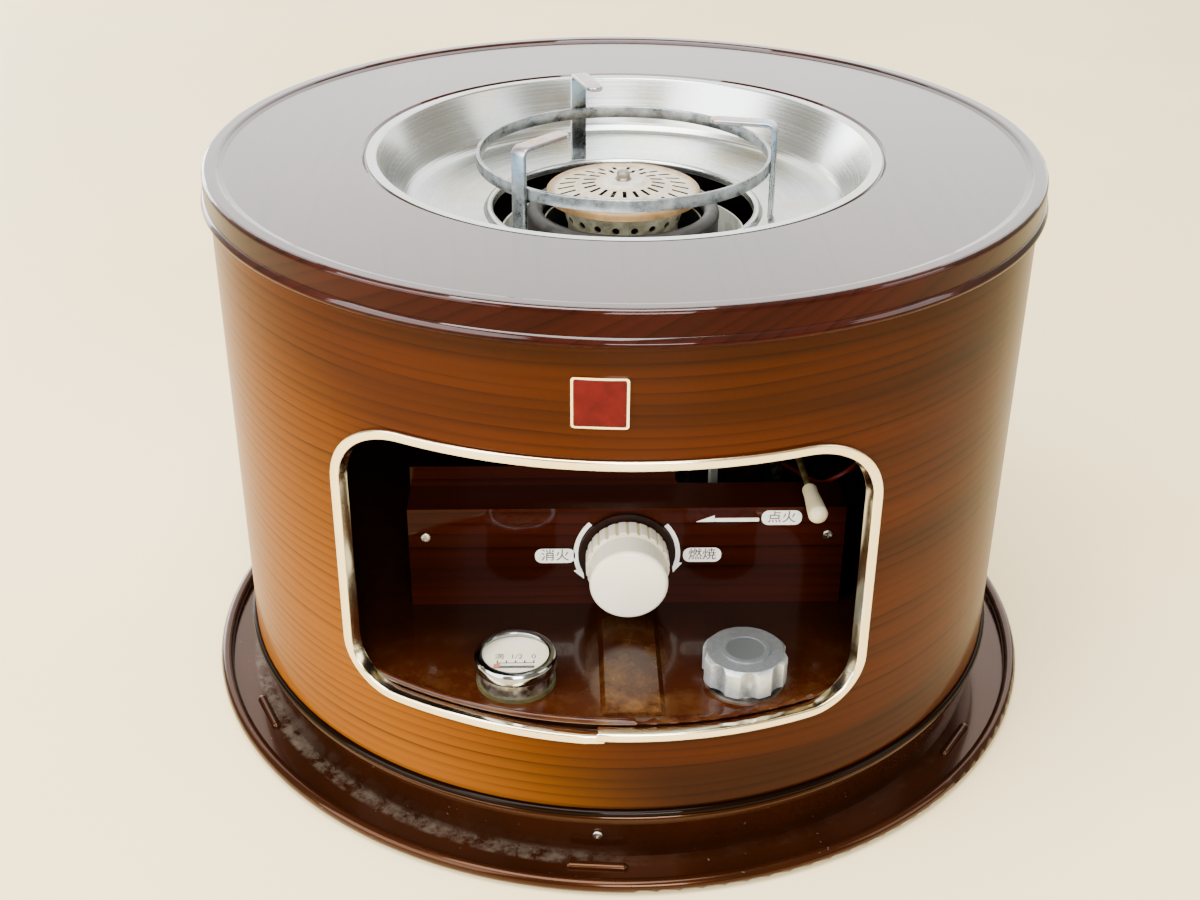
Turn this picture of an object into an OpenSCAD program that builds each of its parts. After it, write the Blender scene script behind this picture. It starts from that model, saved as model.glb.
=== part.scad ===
// Round wood-print kerosene stove standing on its floor tray.
// Millimetres, +Z up, origin at the middle of the tray's underside, front towards -Y.

/* [Floor tray] */
// How far the tray's rim stands out past the base
tray_margin = 23.2; // [16:0.2:40]
// Radius of the rolled lip's section
tray_lip_r = 3.6; // [2.5:0.1:5]
// Sheet thickness of the tray
tray_t = 1.2; // [0.8:0.1:2]
// Length of each pressed stop that centres the base
stop_len = 32; // [20:1:40]
// Half width of a pressed stop
stop_r = 2.6; // [2:0.1:3.2]
// Number of stops round the base
stop_count = 6; // [3:1:8]

/* [Base ring] */
// How far the base's shoulder stands out past the drum
base_step = 0.8; // [0:0.1:3]
// How far the base wall draws in from shoulder to foot
base_draft = 4; // [0:0.5:9]
// Height of the base ring's shoulder above the tray floor
base_h = 29.5; // [22:0.5:36]
// Sheet thickness of the base ring
base_t = 1.2; // [0.8:0.1:2]
// Width of the shelf that carries the tank
base_shelf_w = 30; // [26:1:40]
// Radius of the fixing screws' heads
base_screw_r = 2.6; // [2:0.1:4]
// Number of fixing screws round the base
base_screw_count = 4; // [3:1:6]

/* [Drum] */
// Outer radius of the drum
drum_r = 219; // [190:0.5:250]
// Sheet thickness of the drum
drum_t = 1; // [0.6:0.1:1.6]
// Height of the drum from its lower bead to its top edge
drum_h = 272.4; // [255:0.1:290]
// Radius of the rolled bead at the drum's foot
drum_bead_r = 2; // [1.2:0.1:2.6]
// How far the casing stands turned from the machine inside it, in degrees
casing_turn = -4.6; // [-8:0.1:8]

/* [Window] */
// Half width of the window inside its trim
win_half_w = 124.6; // [115:0.1:132]
// Height of the window's lower edge above the floor
win_z0 = 83.5; // [78:0.5:90]
// Height of the window inside its trim
win_h = 145.5; // [130:0.5:155]
// Radius of the upper corners
win_top_r = 33; // [20:1:45]
// Radius of the lower corners
win_low_r = 22; // [12:1:35]
// Width of the trim's face
trim_face = 5; // [4:0.1:8]
// Thickness of the trim's web across the sheet edge
trim_web = 1.2; // [0.8:0.1:2]
// How far the trim stands proud of the drum
trim_proud = 2.2; // [1.2:0.1:3.5]
// How far the trim reaches behind the sheet
trim_back = 2; // [1.2:0.1:3]
// Width of the gap where the trim's two ends meet
trim_seam = 0.4; // [0.2:0.1:1]

/* [Badge plate] */
// Width of the plain plate above the window
badge_w = 25.4; // [18:0.2:34]
// Height of the plate
badge_h = 24.4; // [18:0.2:34]
// Height of the plate's middle above the window
badge_up = 33; // [24:0.5:40]
// Thickness of the plate
badge_t = 1; // [0.6:0.1:1.6]

/* [Top plate] */
// Gap between the drum and the inside of the top plate's skirt
skirt_gap = 1.2; // [0.6:0.1:3]
// Sheet thickness of the top plate
top_t = 1.2; // [0.8:0.1:1.6]
// Height of the skirt below the rim
skirt_h = 17.6; // [12:0.2:24]
// Width of the raised rim
rim_w = 9; // [6:0.5:14]
// Height of the rim above the flat of the plate
rim_h = 2; // [1:0.1:3]
// Depth of the seat that takes the bowl's flange
seat_depth = 1.5; // [1:0.1:2.5]

/* [Drip bowl] */
// Outer radius of the bowl's flange
bowl_r = 137; // [130:0.5:144]
// Width of the flange
bowl_flange_w = 5.5; // [4:0.5:9]
// Depth from the flange to the foot of the steep wall
bowl_wall_h = 29; // [22:0.5:34]
// How far the steep wall draws in
bowl_wall_in = 14; // [8:0.5:20]
// Fall of the floor from the wall to the hole
bowl_floor_fall = 5; // [3:0.5:9]
// Gap between the heat shield and the bowl's hole
bowl_hole_gap = 3; // [1:0.1:6]
// Height of the turned-up lip round the hole
bowl_lip_h = 3; // [1.5:0.1:5]
// Sheet thickness of the bowl
bowl_t = 0.9; // [0.6:0.1:1.4]

/* [Trivet] */
// Distance of the trivet's ring outside the bowl's hole
trivet_out = 8.2; // [7:0.1:16]
// Height of the ring's flat strip
trivet_strip_h = 6.4; // [4:0.2:9]
// Thickness of the ring's strip
trivet_strip_t = 2; // [1.4:0.1:3]
// Height of the ring's lower edge above the legs' feet
trivet_ring_lift = 25; // [18:0.5:32]
// Height of the legs
trivet_h = 52; // [44:0.5:60]
// Width of each leg
trivet_leg_w = 9; // [6:0.5:12]
// Thickness of each leg
trivet_leg_t = 2.4; // [1.8:0.1:3.2]
// Radius from the axis to the end of each inward arm
trivet_arm_end = 46; // [40:0.5:54]
// Bend radius of the legs
trivet_bend_r = 5; // [4:0.5:8]
// Turn of the first leg from the front, in degrees
trivet_turn = -43; // [-60:1:60]
// Number of legs
trivet_legs_n = 3; // [3:1:4]

/* [Fuel tank] */
// Space between the drum and the tank's lower shell
tank_space = 12; // [8:0.5:16]
// Height of the tank from its underside to its top face
tank_h = 53.3; // [48:0.1:58]
// Sheet thickness of the tank
tank_t = 1; // [0.8:0.1:1.6]
// Width of the seam flange
tank_seam_w = 3.5; // [2:0.5:5]
// Space between the drum and the rolled edge of the tank's top sheet
tank_edge_space = 3; // [3:0.5:8]
// Radius of the rolled edge
tank_edge_r = 1.8; // [1.2:0.1:2.4]
// Width of the stiffening ridge in front of the panel
ridge_w = 32; // [20:0.5:40]
// Height of the ridge
ridge_h = 2.5; // [1:0.1:4]

/* [Filler] */
// Sideways place of the filler
filler_x = 57; // [50:0.5:66]
// Distance of the filler's middle from the tank's edge
filler_inset = 19.1; // [17:0.1:30]
// Inner radius of the filler neck
neck_r = 15; // [12:0.5:16]
// Wall of the filler neck
neck_t = 1.5; // [1:0.1:2]
// Height of the neck above the tank
neck_h = 13; // [10:0.5:16]
// Outer radius of the cap over its lobes
cap_r = 21.4; // [20:0.1:24]
// Height of the cap
cap_h = 15; // [12:0.5:18]
// Number of lobes on the cap
cap_lobes = 8; // [6:1:12]
// Thickness of the cap's sealing ring
gasket_t = 2; // [1:0.1:3]

/* [Fuel gauge] */
// Sideways place of the gauge
gauge_x = -58; // [-66:0.5:-50]
// Distance of the gauge's middle from the tank's edge
gauge_inset = 19.7; // [17:0.1:30]
// Outer radius of the gauge's bezel
gauge_r = 20.8; // [18:0.1:24]
// Height of the gauge above the tank
gauge_h = 17; // [14:0.5:20]
// Height of the bezel
bezel_h = 5; // [4:0.2:6]
// Thickness of the seal under the gauge
gauge_seal_t = 2.5; // [1.5:0.1:3.5]
// Distance of the scale in front of the gauge's middle
scale_front = 6; // [4:0.5:8]
// Swing of the float arm from empty to full, in degrees
float_swing = 28; // [20:1:32]
// Length of the float arm
float_arm_l = 27; // [22:1:30]
// Radius of the float
float_r = 6; // [4:0.5:7]
// Length of the float
float_l = 38; // [24:1:44]

/* [Control panel] */
// Distance of the panel's face in front of the axis
panel_front = 109.5; // [104:0.5:114]
// Width of the panel
panel_w = 231; // [210:1:250]
// Height of the panel's ledge above the tank
panel_h = 59.7; // [54:0.1:66]
// Depth of the ledge
ledge_d = 25; // [18:0.5:30]
// Height of the lip behind the ledge
lip_h = 11.5; // [8:0.5:16]
// Sheet thickness of the panel
panel_t = 1.2; // [0.8:0.1:1.6]
// Distance of the lever notch's end from the panel's middle
notch_x = 26.5; // [18:0.5:30]

/* [Wick knob and spindle] */
// Height of the spindle above the tank
spindle_h = 31.4; // [28:0.2:35]
// Radius of the spindle
spindle_r = 4; // [3:0.1:5]
// Radius of the knob's fluted skirt
knob_r = 22; // [18:0.2:24]
// Radius of the knob's smooth nose
knob_nose_r = 20.4; // [15:0.2:20.6]
// Length of the fluted skirt
knob_skirt_l = 13; // [8:0.5:16]
// Length of the knob
knob_l = 29; // [24:0.5:34]
// Number of flutes
knob_flutes = 24; // [16:1:32]
// Radius of the plate behind the knob
escutcheon_r = 25.5; // [23:0.1:26]
// Thickness of that plate
escutcheon_t = 2; // [1:0.1:3]

/* [Wick] */
// Outer radius of the draught tube inside the wick
draught_r = 36; // [34.5:0.1:36.5]
// Radial thickness of the wick
wick_t = 3.1; // [2.4:0.1:3.2]
// Length of the wick below the burner seat
wick_l = 105; // [95:1:112]
// Sheet thickness of the wick tubes and sleeve
wick_sheet = 0.9; // [0.7:0.1:1.1]
// Height of the burner seat above the tank
seat_h = 80; // [76:1:84]
// Teeth on the pinion
pinion_teeth = 12; // [12:1:14]
// Tooth module of the rack and pinion
tooth_m = 1; // [0.9:0.05:1.1]
// Face width of the pinion
pinion_w = 7; // [5:0.5:8]

/* [Burner] */
// Radius of the burner's outer jacket
jacket_r = 52.6; // [50:0.1:54]
// Height of the jacket's top above the burner seat
jacket_top = 107.4; // [96:0.2:109]
// Radius of the jacket's rolled rim
jacket_roll_r = 4.3; // [3:0.1:4.6]
// Outer radius of the outer flame tube
outer_tube_r = 43.4; // [43:0.1:44]
// Outer radius of the inner flame tube
inner_tube_r = 34; // [31:0.1:34.2]
// Height of the spreader's rim above the burner seat
spreader_z = 118; // [114:0.5:122]
// Radius of the flame spreader
spreader_r = 41.8; // [40:0.1:43]
// Slots in the spreader's outer row
spreader_outer_n = 26; // [20:1:30]
// Slots in the spreader's inner row
spreader_inner_n = 20; // [14:1:22]
// Holes in each row of the flame tubes
tube_holes = 16; // [12:1:20]
// Radius of the holes in the flame tubes
tube_hole_r = 2; // [1.4:0.1:2.4]

/* [Heat shield] */
// Space between the burner's jacket and the shield's outside
shield_space = 14.4; // [13:0.1:24]
// Height of the shield's floor above the tank
shield_floor_h = 66; // [60:0.5:70]
// Height of the shield's wall
shield_h = 107; // [100:1:110]
// Sheet thickness of the shield
shield_t = 1; // [0.7:0.1:1.4]

/* [Ignition lever] */
// Distance of the lever's pivot outside the shield
lever_out = 25; // [20:0.5:28]
// Height of the lever above the panel's ledge
lever_lift = 7.3; // [7:0.1:9]
// Radius of the lever's rod
lever_rod_r = 1.7; // [1.2:0.1:2.2]
// Distance from the pivot to the end of the tip
lever_l = 133; // [126:0.5:138]
// Turn of the lever to the right at rest, in degrees
lever_rest = 2.2; // [0:0.1:4]
// Swing of the lever to the left, in degrees
lever_swing = 35; // [25:1:36]
// Length of the moulded tip
lever_tip_l = 30; // [24:0.5:34]
// Largest radius of the tip
lever_tip_r = 5.4; // [4:0.1:5.6]
// Rise of the burner over the lever's swing
burner_rise = 6; // [4:0.1:7]

/* [Battery case] */
// Radius of one dry cell
cell_r = 16.6; // [13:0.1:17]
// Length of one dry cell
cell_l = 61; // [50:0.5:62]
// Wall of the battery case
case_t = 2; // [1.5:0.1:3]
// Distance of the cells' middle from the drum
cell_inset = 37; // [34:0.5:50]

/* [Clearances] */
// Radial clearance of a shaft in its bore
running_fit = 0.05; // [0.02:0.01:0.08]
// Gap between pieces that move past each other
moving_gap = 0.3; // [0.2:0.05:0.5]
// Gap left between pieces that are assembled by hand
seat_gap = 0.1; // [0.05:0.01:0.2]

/* [Hidden] */
$fn = 96;

enamel = "#2a0f06";
wood_print = "#7a4318";
bright_steel = "#c9cbc8";
zinc = "#9aa0a3";
black_steel = "#1c1a19";
cream = "#fbf3da";
brass = "#b08d4a";

// Radii that one piece hands to the next
base_r = drum_r + base_step;
tray_r = base_r + tray_margin;
top_r = drum_r + skirt_gap + top_t;
tank_r = drum_r - drum_t - tank_space;
tank_top_r = drum_r - drum_t - tank_edge_space;
gauge_front = sqrt(pow(tank_r - gauge_inset, 2) - gauge_x * gauge_x);
filler_front = sqrt(pow(tank_r - filler_inset, 2) - filler_x * filler_x);
cell_back = drum_r - cell_inset;
shield_r = jacket_r + shield_space;
bowl_hole_r = shield_r + bowl_hole_gap;
trivet_r = bowl_hole_r + trivet_out;
lever_x = shield_r + lever_out;

// Heights that one piece hands to the next
tray_floor_z = tray_t;
shelf_z = tray_floor_z + base_h;
drum_z0 = shelf_z + seat_gap;
drum_top_z = drum_z0 + drum_h;
plate_z = drum_top_z + seat_gap + top_t;
rim_z = plate_z + rim_h;
badge_z = win_z0 + win_h + badge_up;
bowl_seat_z = plate_z - seat_depth;
bowl_top_z = bowl_seat_z + seat_gap + bowl_t;
tank_z0 = shelf_z;
tank_top_z = tank_z0 + tank_h;
spindle_z = tank_top_z + spindle_h;
ledge_z = tank_top_z + panel_h;
seat_z = tank_top_z + seat_h;
burner_z = seat_z + moving_gap;

// Places in the bowl's section
bowl_wall_r = bowl_r - bowl_flange_w;
bowl_foot_r = bowl_wall_r - bowl_wall_in;
bowl_foot_z = bowl_top_z - bowl_wall_h;
bowl_bead_w = 6;
bowl_floor_r = bowl_hole_r + bowl_bead_w;
bowl_floor_z = bowl_foot_z - bowl_floor_fall;
function bowl_z(r) = bowl_floor_z + bowl_floor_fall * (r - bowl_floor_r) / (bowl_foot_r - bowl_floor_r);

// Radii of the nested wick parts
wick_ri = draught_r + moving_gap;
wick_ro = wick_ri + wick_t;
sleeve_ri = wick_ro + seat_gap;
sleeve_ro = sleeve_ri + wick_sheet;
tube_ri = sleeve_ro + moving_gap;
tube_ro = tube_ri + wick_sheet;

// Points of a sheet-metal section: a path, and the same path moved sideways by the thickness
function unit_left(a, b) = let (d = (b - a) / norm(b - a)) [-d[1], d[0]];
function left_at(p, i) =
    let (n = len(p) - 1,
         u = unit_left(p[max(i - 1, 0)], p[max(i, 1)]),
         v = unit_left(p[min(i, n - 1)], p[min(i + 1, n)]))
    (u + v) / (1 + u * v);
function sheet(p, t) =
    concat(p, [for (i = [len(p) - 1 : -1 : 0]) p[i] + t * left_at(p, i)]);
function arc(c, r, a0, a1, n = 6) =
    [for (i = [0 : n]) c + r * [cos(a0 + (a1 - a0) * i / n), sin(a0 + (a1 - a0) * i / n)]];

module ring(r1, r2, h) {
    difference() {
        cylinder(r = r2, h = h);
        translate([0, 0, -1]) cylinder(r = r1, h = h + 2);
    }
}

// Children drawn along +Z point out of the front of the machine at the spindle's height
module along_spindle(d = 0) {
    translate([0, -d, spindle_z]) rotate([90, 0, 0]) children();
}

module casing() {
    rotate([0, 0, casing_turn]) children();
}

module round_rect(w, h, r) {
    for (x = [-1, 1], y = [-1, 1]) translate([x * (w / 2 - r), y * (h / 2 - r)]) circle(r = r);
    square([w - 2 * r, h], center = true);
    square([w, h - 2 * r], center = true);
}

// Floor tray and base

stop_ring_r = base_r + stop_r + 1.6;

module floor_tray() {
    color(enamel) {
        cylinder(r = tray_r - tray_lip_r, h = tray_t);
        rotate_extrude() translate([tray_r - tray_lip_r, tray_lip_r + tray_t / 3]) circle(r = tray_lip_r);
        intersection() {
            translate([0, 0, tray_t / 2]) cylinder(r = tray_r - tray_lip_r, h = 3 * stop_r);
            for (i = [0 : stop_count - 1])
                rotate([0, 0, casing_turn + i * 360 / stop_count]) tray_stop();
        }
    }
}

module tray_stop() {
    half = stop_len / 2 - stop_r;
    translate([0, -stop_ring_r, tray_t]) {
        rotate([0, 90, 0]) cylinder(r = stop_r, h = 2 * half, center = true);
        for (x = [-half, half]) translate([x, 0, 0]) sphere(r = stop_r);
    }
}

shoulder_r = 3;
base_foot_r = base_r - base_draft;
air_hole_n = 24;
air_hole_r = 3.5;
air_hole_ring = (tank_r + drum_r - drum_t) / 2;

module base_ring() {
    path = concat(
        [[base_foot_r - 8, tray_floor_z], [base_foot_r, tray_floor_z], [base_r, shelf_z - shoulder_r - 2]],
        arc([base_r - shoulder_r, shelf_z - shoulder_r], shoulder_r, 0, 90),
        [[base_r - base_shelf_w, shelf_z]]);
    color(enamel) difference() {
        rotate_extrude() polygon(sheet(path, base_t));
        for (i = [0 : base_screw_count - 1])
            base_screw_at(i) cylinder(r = base_screw_hole, h = 12, center = true);
        for (i = [0 : air_hole_n - 1]) rotate([0, 0, i * 360 / air_hole_n])
            translate([air_hole_ring, 0, shelf_z - 2 * base_t]) cylinder(r = air_hole_r, h = 3 * base_t);
    }
}

base_screw_hole = 1.7;
base_screw_z = tray_floor_z + base_h * 0.58;
base_wall_angle = atan2(base_draft, base_h - shoulder_r - 2);
base_wall_r = base_foot_r + base_draft * (base_screw_z - tray_floor_z) / (base_h - shoulder_r - 2);

module base_screw_at(i) {
    rotate([0, 0, casing_turn + i * 360 / base_screw_count])
        translate([0, -base_wall_r, base_screw_z]) rotate([90 + base_wall_angle, 0, 0]) children();
}

module base_screws() {
    color(bright_steel) for (i = [0 : base_screw_count - 1]) base_screw_at(i) {
        translate([0, 0, seat_gap]) cylinder(r1 = base_screw_r, r2 = base_screw_r * 0.7, h = 1.6);
        translate([0, 0, -8]) cylinder(r = base_screw_hole - seat_gap, h = 8.2);
    }
}

// Drum, window trim and badge plate

module window_outline(grow = 0) {
    w = win_half_w + grow;
    z0 = win_z0 - grow;
    z1 = win_z0 + win_h + grow;
    rt = win_top_r + grow;
    rl = win_low_r + grow;
    translate([-w, z0 + rl]) square([2 * w, z1 - rt - z0 - rl]);
    translate([-w + rt, z1 - rt]) square([2 * (w - rt), rt]);
    translate([-w + rl, z0]) square([2 * (w - rl), rl]);
    for (s = [-1, 1]) {
        translate([s * (w - rt), z1 - rt]) circle(r = rt);
        translate([s * (w - rl), z0 + rl]) circle(r = rl);
    }
}

// A flat outline pushed out through the front of the drum
module through_front() {
    rotate([90, 0, 0]) linear_extrude(height = drum_r + 20) children();
}

sheet_edge = trim_web + seat_gap;
cover_half_w = cell_l + case_t;
cover_h = 2 * cell_r;
cover_z = tank_top_z + case_t + cell_r;

module battery_doorway(grow = 0) {
    translate([-cover_half_w - grow, 0, cover_z - cover_h / 2 - grow])
        cube([2 * (cover_half_w + grow), drum_r + 20, cover_h + 2 * grow]);
}

module outer_drum() {
    color(wood_print) casing() difference() {
        rotate_extrude() {
            translate([drum_r - drum_t, drum_z0 + drum_bead_r]) square([drum_t, drum_h - drum_bead_r]);
            translate([drum_r + drum_bead_r - drum_t - 0.3, drum_z0 + drum_bead_r]) circle(r = drum_bead_r);
        }
        through_front() window_outline(sheet_edge);
        battery_doorway(moving_gap);
    }
}

module trim_band(r1, r2, g1, g2) {
    intersection() {
        translate([0, 0, win_z0 - 20]) ring(r1, r2, win_h + 40);
        through_front() difference() {
            window_outline(g2);
            window_outline(g1);
        }
    }
}

module window_trim() {
    skin = drum_r + seat_gap;
    lining = drum_r - drum_t - seat_gap;
    color(cream) casing() difference() {
        union() {
            trim_band(lining - trim_back, drum_r + trim_proud, 0, trim_web);
            trim_band(skin, drum_r + trim_proud, trim_web / 2, trim_face - trim_proud / 3);
            trim_band(skin, drum_r + trim_proud * 0.6, trim_web / 2, trim_face);
            trim_band(lining - trim_back, lining, trim_web / 2, trim_face - 1);
        }
        translate([-trim_seam / 2, -drum_r - 10, win_z0 - 20]) cube([trim_seam, 30, 40]);
    }
}

module badge_plate() {
    color("#b02018") casing() intersection() {
        translate([0, 0, badge_z - badge_h])
            ring(drum_r + seat_gap, drum_r + seat_gap + badge_t, 2 * badge_h);
        through_front() translate([0, badge_z]) round_rect(badge_w, badge_h, 1.5);
    }
}

// Top plate and what lies in it

edge_r = 2.5;
rim_rise_angle = 150;
skirt_turn = skirt_gap / 2;
seat_r = bowl_r + 1;
bowl_turn = 1.5;
plate_hole_r = bowl_wall_r + bowl_turn + bowl_t + 1;
skirt_z = rim_z - skirt_h;

module top_plate() {
    path = concat(
        [[plate_hole_r, bowl_seat_z], [seat_r, bowl_seat_z], [seat_r + seat_depth, plate_z]],
        [[top_r - rim_w - 2, plate_z]],
        arc([top_r - rim_w + edge_r, rim_z - edge_r], edge_r, rim_rise_angle, 90, 3),
        arc([top_r - edge_r, rim_z - edge_r], edge_r, 90, 0),
        [[top_r, skirt_z + 2 * skirt_turn], [top_r - skirt_turn, skirt_z]]);
    color("#3a1d14") rotate_extrude() polygon(sheet(path, -top_t));
}

// Lean of the wall from the level, and the curve that joins the wall to the floor
bowl_lean = atan2(bowl_wall_h, bowl_wall_in);
bowl_corner_r = 10;
function bowl_corner() =
    let (fall = atan2(bowl_floor_fall, bowl_foot_r - bowl_floor_r), turn = bowl_lean - fall,
         reach = bowl_corner_r * tan(turn / 2),
         start = [bowl_foot_r, bowl_foot_z] + reach * [cos(bowl_lean), sin(bowl_lean)],
         c = start + bowl_corner_r * [-sin(bowl_lean), cos(bowl_lean)])
    arc(c, bowl_corner_r, bowl_lean - 90, fall - 90, 6);

module drip_bowl() {
    bead_r = bowl_bead_w / 2 - bowl_t;
    path = concat(
        [[bowl_r, bowl_top_z]],
        arc([bowl_wall_r + bowl_turn, bowl_top_z - bowl_turn], bowl_turn, 90, 90 + bowl_lean, 4),
        bowl_corner(),
        [[bowl_floor_r, bowl_floor_z]],
        arc([bowl_hole_r + bowl_t + bead_r, bowl_floor_z + bowl_lip_h - bead_r], bead_r, 40, 180, 8),
        [[bowl_hole_r + bowl_t, bowl_floor_z - bowl_lip_h / 2]]);
    color(bright_steel) rotate_extrude() polygon(sheet(path, bowl_t));
}

ring_ro = trivet_r + trivet_strip_t / 2;
leg_ri = ring_ro + 0.02;
leg_ro = leg_ri + trivet_leg_t;
foot_z = bowl_z(leg_ro + 0.3) + moving_gap;
trivet_top_z = foot_z + trivet_h;

module trivet_ring() {
    color(bright_steel) translate([0, 0, foot_z + trivet_ring_lift])
        ring(ring_ro - trivet_strip_t, ring_ro, trivet_strip_h);
}

module trivet_legs() {
    color(bright_steel) for (i = [0 : trivet_legs_n - 1])
        rotate([0, 0, trivet_turn - 90 + i * 360 / trivet_legs_n]) trivet_leg();
}

module trivet_leg() {
    path = concat(
        [[leg_ro, foot_z]],
        arc([leg_ro - trivet_bend_r, trivet_top_z - trivet_bend_r], trivet_bend_r, 0, 90),
        [[trivet_arm_end, trivet_top_z]]);
    intersection() {
        translate([0, trivet_leg_w / 2, 0]) rotate([90, 0, 0])
            linear_extrude(height = trivet_leg_w) polygon(sheet(path, trivet_leg_t));
        translate([0, 0, foot_z - 1]) linear_extrude(height = trivet_h + 2) {
            translate([trivet_arm_end + trivet_leg_w / 2, 0]) circle(r = trivet_leg_w / 2);
            translate([trivet_arm_end + trivet_leg_w / 2, -trivet_leg_w / 2])
                square([leg_ro - trivet_arm_end, trivet_leg_w]);
        }
    }
}

// Tank and filler

draught_flange_w = 8;

module tank_shell() {
    top = tank_top_z - tank_t;
    path = [[draught_r + seat_gap, tank_z0], [tank_r - 6, tank_z0], [tank_r, tank_z0 + 6],
        [tank_r, top - tank_t], [tank_r + tank_seam_w, top - tank_t]];
    color(enamel) rotate_extrude() polygon(sheet(path, tank_t));
}

module filler_at(z = 0) {
    translate([filler_x, -filler_front, tank_top_z + z]) children();
}

module gauge_at(z = 0) {
    translate([gauge_x, -gauge_front, tank_top_z + z]) children();
}

gauge_hole_r = 12;
ridge_back = panel_front + panel_t + 1;
ridge_front = tank_top_r - 3 * tank_edge_r - 2;

module tank_top() {
    color(enamel) {
        difference() {
            translate([0, 0, tank_top_z - tank_t]) cylinder(r = tank_top_r - tank_edge_r, h = tank_t);
            translate([0, 0, tank_top_z - 2 * tank_t]) cylinder(r = tube_ri, h = 3 * tank_t);
            filler_at(-2 * tank_t) cylinder(r = neck_r, h = 3 * tank_t);
            gauge_at(-2 * tank_t) cylinder(r = gauge_hole_r, h = 3 * tank_t);
        }
        rotate_extrude() translate([tank_top_r - tank_edge_r, tank_top_z + tank_edge_r - tank_t / 2])
            circle(r = tank_edge_r);
        translate([0, -ridge_back, tank_top_z]) rotate([90, 0, 0])
            linear_extrude(height = ridge_front - ridge_back)
                polygon([[-ridge_w / 2, 0], [ridge_w / 2, 0], [ridge_w / 2 - ridge_h, ridge_h],
                    [-ridge_w / 2 + ridge_h, ridge_h]]);
    }
}

neck_flange_t = 1.2;

module filler_neck() {
    color(zinc) filler_at() {
        ring(neck_r, neck_r + neck_t, neck_h);
        ring(neck_r, neck_r + neck_t + 4, neck_flange_t);
    }
}

module cap_gasket() {
    color("#33332f") filler_at(neck_h + seat_gap) ring(neck_r - 2, neck_r + neck_t, gasket_t);
}

cap_ceiling = neck_h + gasket_t + 2 * seat_gap;
cap_top = cap_ceiling + 3;
cap_bore_r = neck_r + neck_t + moving_gap;
lobe_cut_r = 8;
lobe_depth = 2.1;

module filler_cap() {
    color("#6d7375") filler_at() difference() {
        union() {
            translate([0, 0, cap_top - cap_h]) cylinder(r = cap_r, h = cap_h - 2);
            translate([0, 0, cap_top - 2]) cylinder(r1 = cap_r, r2 = cap_r - 2, h = 2);
            ring(cap_r * 0.45, cap_r * 0.58, cap_top + 0.8);
            translate([0, 0, cap_top - 1]) cylinder(r = cap_r * 0.5, h = 1.4);
        }
        translate([0, 0, -1]) cylinder(r = cap_bore_r, h = cap_ceiling + 1);
        for (i = [0 : cap_lobes - 1]) rotate([0, 0, i * 360 / cap_lobes])
            translate([cap_r + lobe_cut_r - lobe_depth, 0, -1]) cylinder(r = lobe_cut_r, h = cap_top + 4);
    }
}

// Fuel gauge and float

gauge_body_r = gauge_r - 1.8;
gauge_wall = 1.6;
lens_t = 1.4;
dial_t = 0.8;
dial_z = gauge_h - bezel_h;
lens_z = dial_z + dial_t + 1.8;
slot_half = 9.5;
pivot_drop = 24;
arm_t = 3;
pin_r = 1.5;
stalk_w = 9;
stalk_t = 2;

module gauge_seal() {
    color("#8f8a3e") gauge_at() ring(gauge_hole_r, gauge_body_r + 1, gauge_seal_t);
}

module gauge_body() {
    color(zinc) gauge_at() {
        difference() {
            union() {
                ring(gauge_body_r - gauge_wall, gauge_body_r, dial_z - seat_gap);
                translate([0, 0, gauge_seal_t]) ring(gauge_hole_r, gauge_body_r, gauge_wall);
            }
            translate([0, 0, -1]) cylinder(r = gauge_body_r + 1, h = 1 + gauge_seal_t + seat_gap);
        }
        gauge_stalk();
    }
}

// Tongue that hangs through the tank's top and carries the float arm on a pin
module gauge_stalk() {
    back = -scale_front + arm_t / 2 + moving_gap;
    translate([-stalk_w / 2, back, -pivot_drop - stalk_w / 2])
        cube([stalk_w, stalk_t, pivot_drop + stalk_w / 2 + gauge_seal_t + gauge_wall]);
    translate([-gauge_hole_r - 1, back, gauge_seal_t + seat_gap])
        cube([2 * gauge_hole_r + 2, stalk_t, gauge_wall - seat_gap]);
    translate([0, back + stalk_t / 2, -pivot_drop]) rotate([90, 0, 0])
        cylinder(r = pin_r, h = stalk_t / 2 + arm_t + 2 * moving_gap + 1);
}

module gauge_dial() {
    color("#f3ecd2") gauge_at(dial_z) difference() {
        cylinder(r = gauge_body_r - seat_gap, h = dial_t);
        translate([-slot_half, -scale_front - 1.6, -1]) cube([2 * slot_half, 3.2, dial_t + 2]);
    }
}

module gauge_lens() {
    color("#dfe8ea", 0.4) gauge_at(lens_z) cylinder(r = gauge_body_r - seat_gap, h = lens_t);
}

module gauge_bezel() {
    lip_r = gauge_body_r - 2.4;
    color(bright_steel) gauge_at() difference() {
        union() {
            translate([0, 0, dial_z - 1.5]) cylinder(r = gauge_r, h = bezel_h - 0.3);
            translate([0, 0, gauge_h - 1.8]) cylinder(r1 = gauge_r, r2 = gauge_r - 1, h = 1.8);
        }
        translate([0, 0, -1]) cylinder(r = gauge_body_r + seat_gap, h = lens_z + lens_t + seat_gap + 1);
        translate([0, 0, -1]) cylinder(r = lip_r, h = gauge_h + 2);
    }
}

module float_frame(angle) {
    gauge_at(-pivot_drop) translate([0, -scale_front, 0]) rotate([0, angle, 0]) children();
}

float_low = -float_swing / 2;
stem_w = 3;
pointer_h = 2;
stem_l = pivot_drop + dial_z - pointer_h - 1;

float_rod_r = 1.2;
float_y0 = arm_t / 2 + 1;

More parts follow.
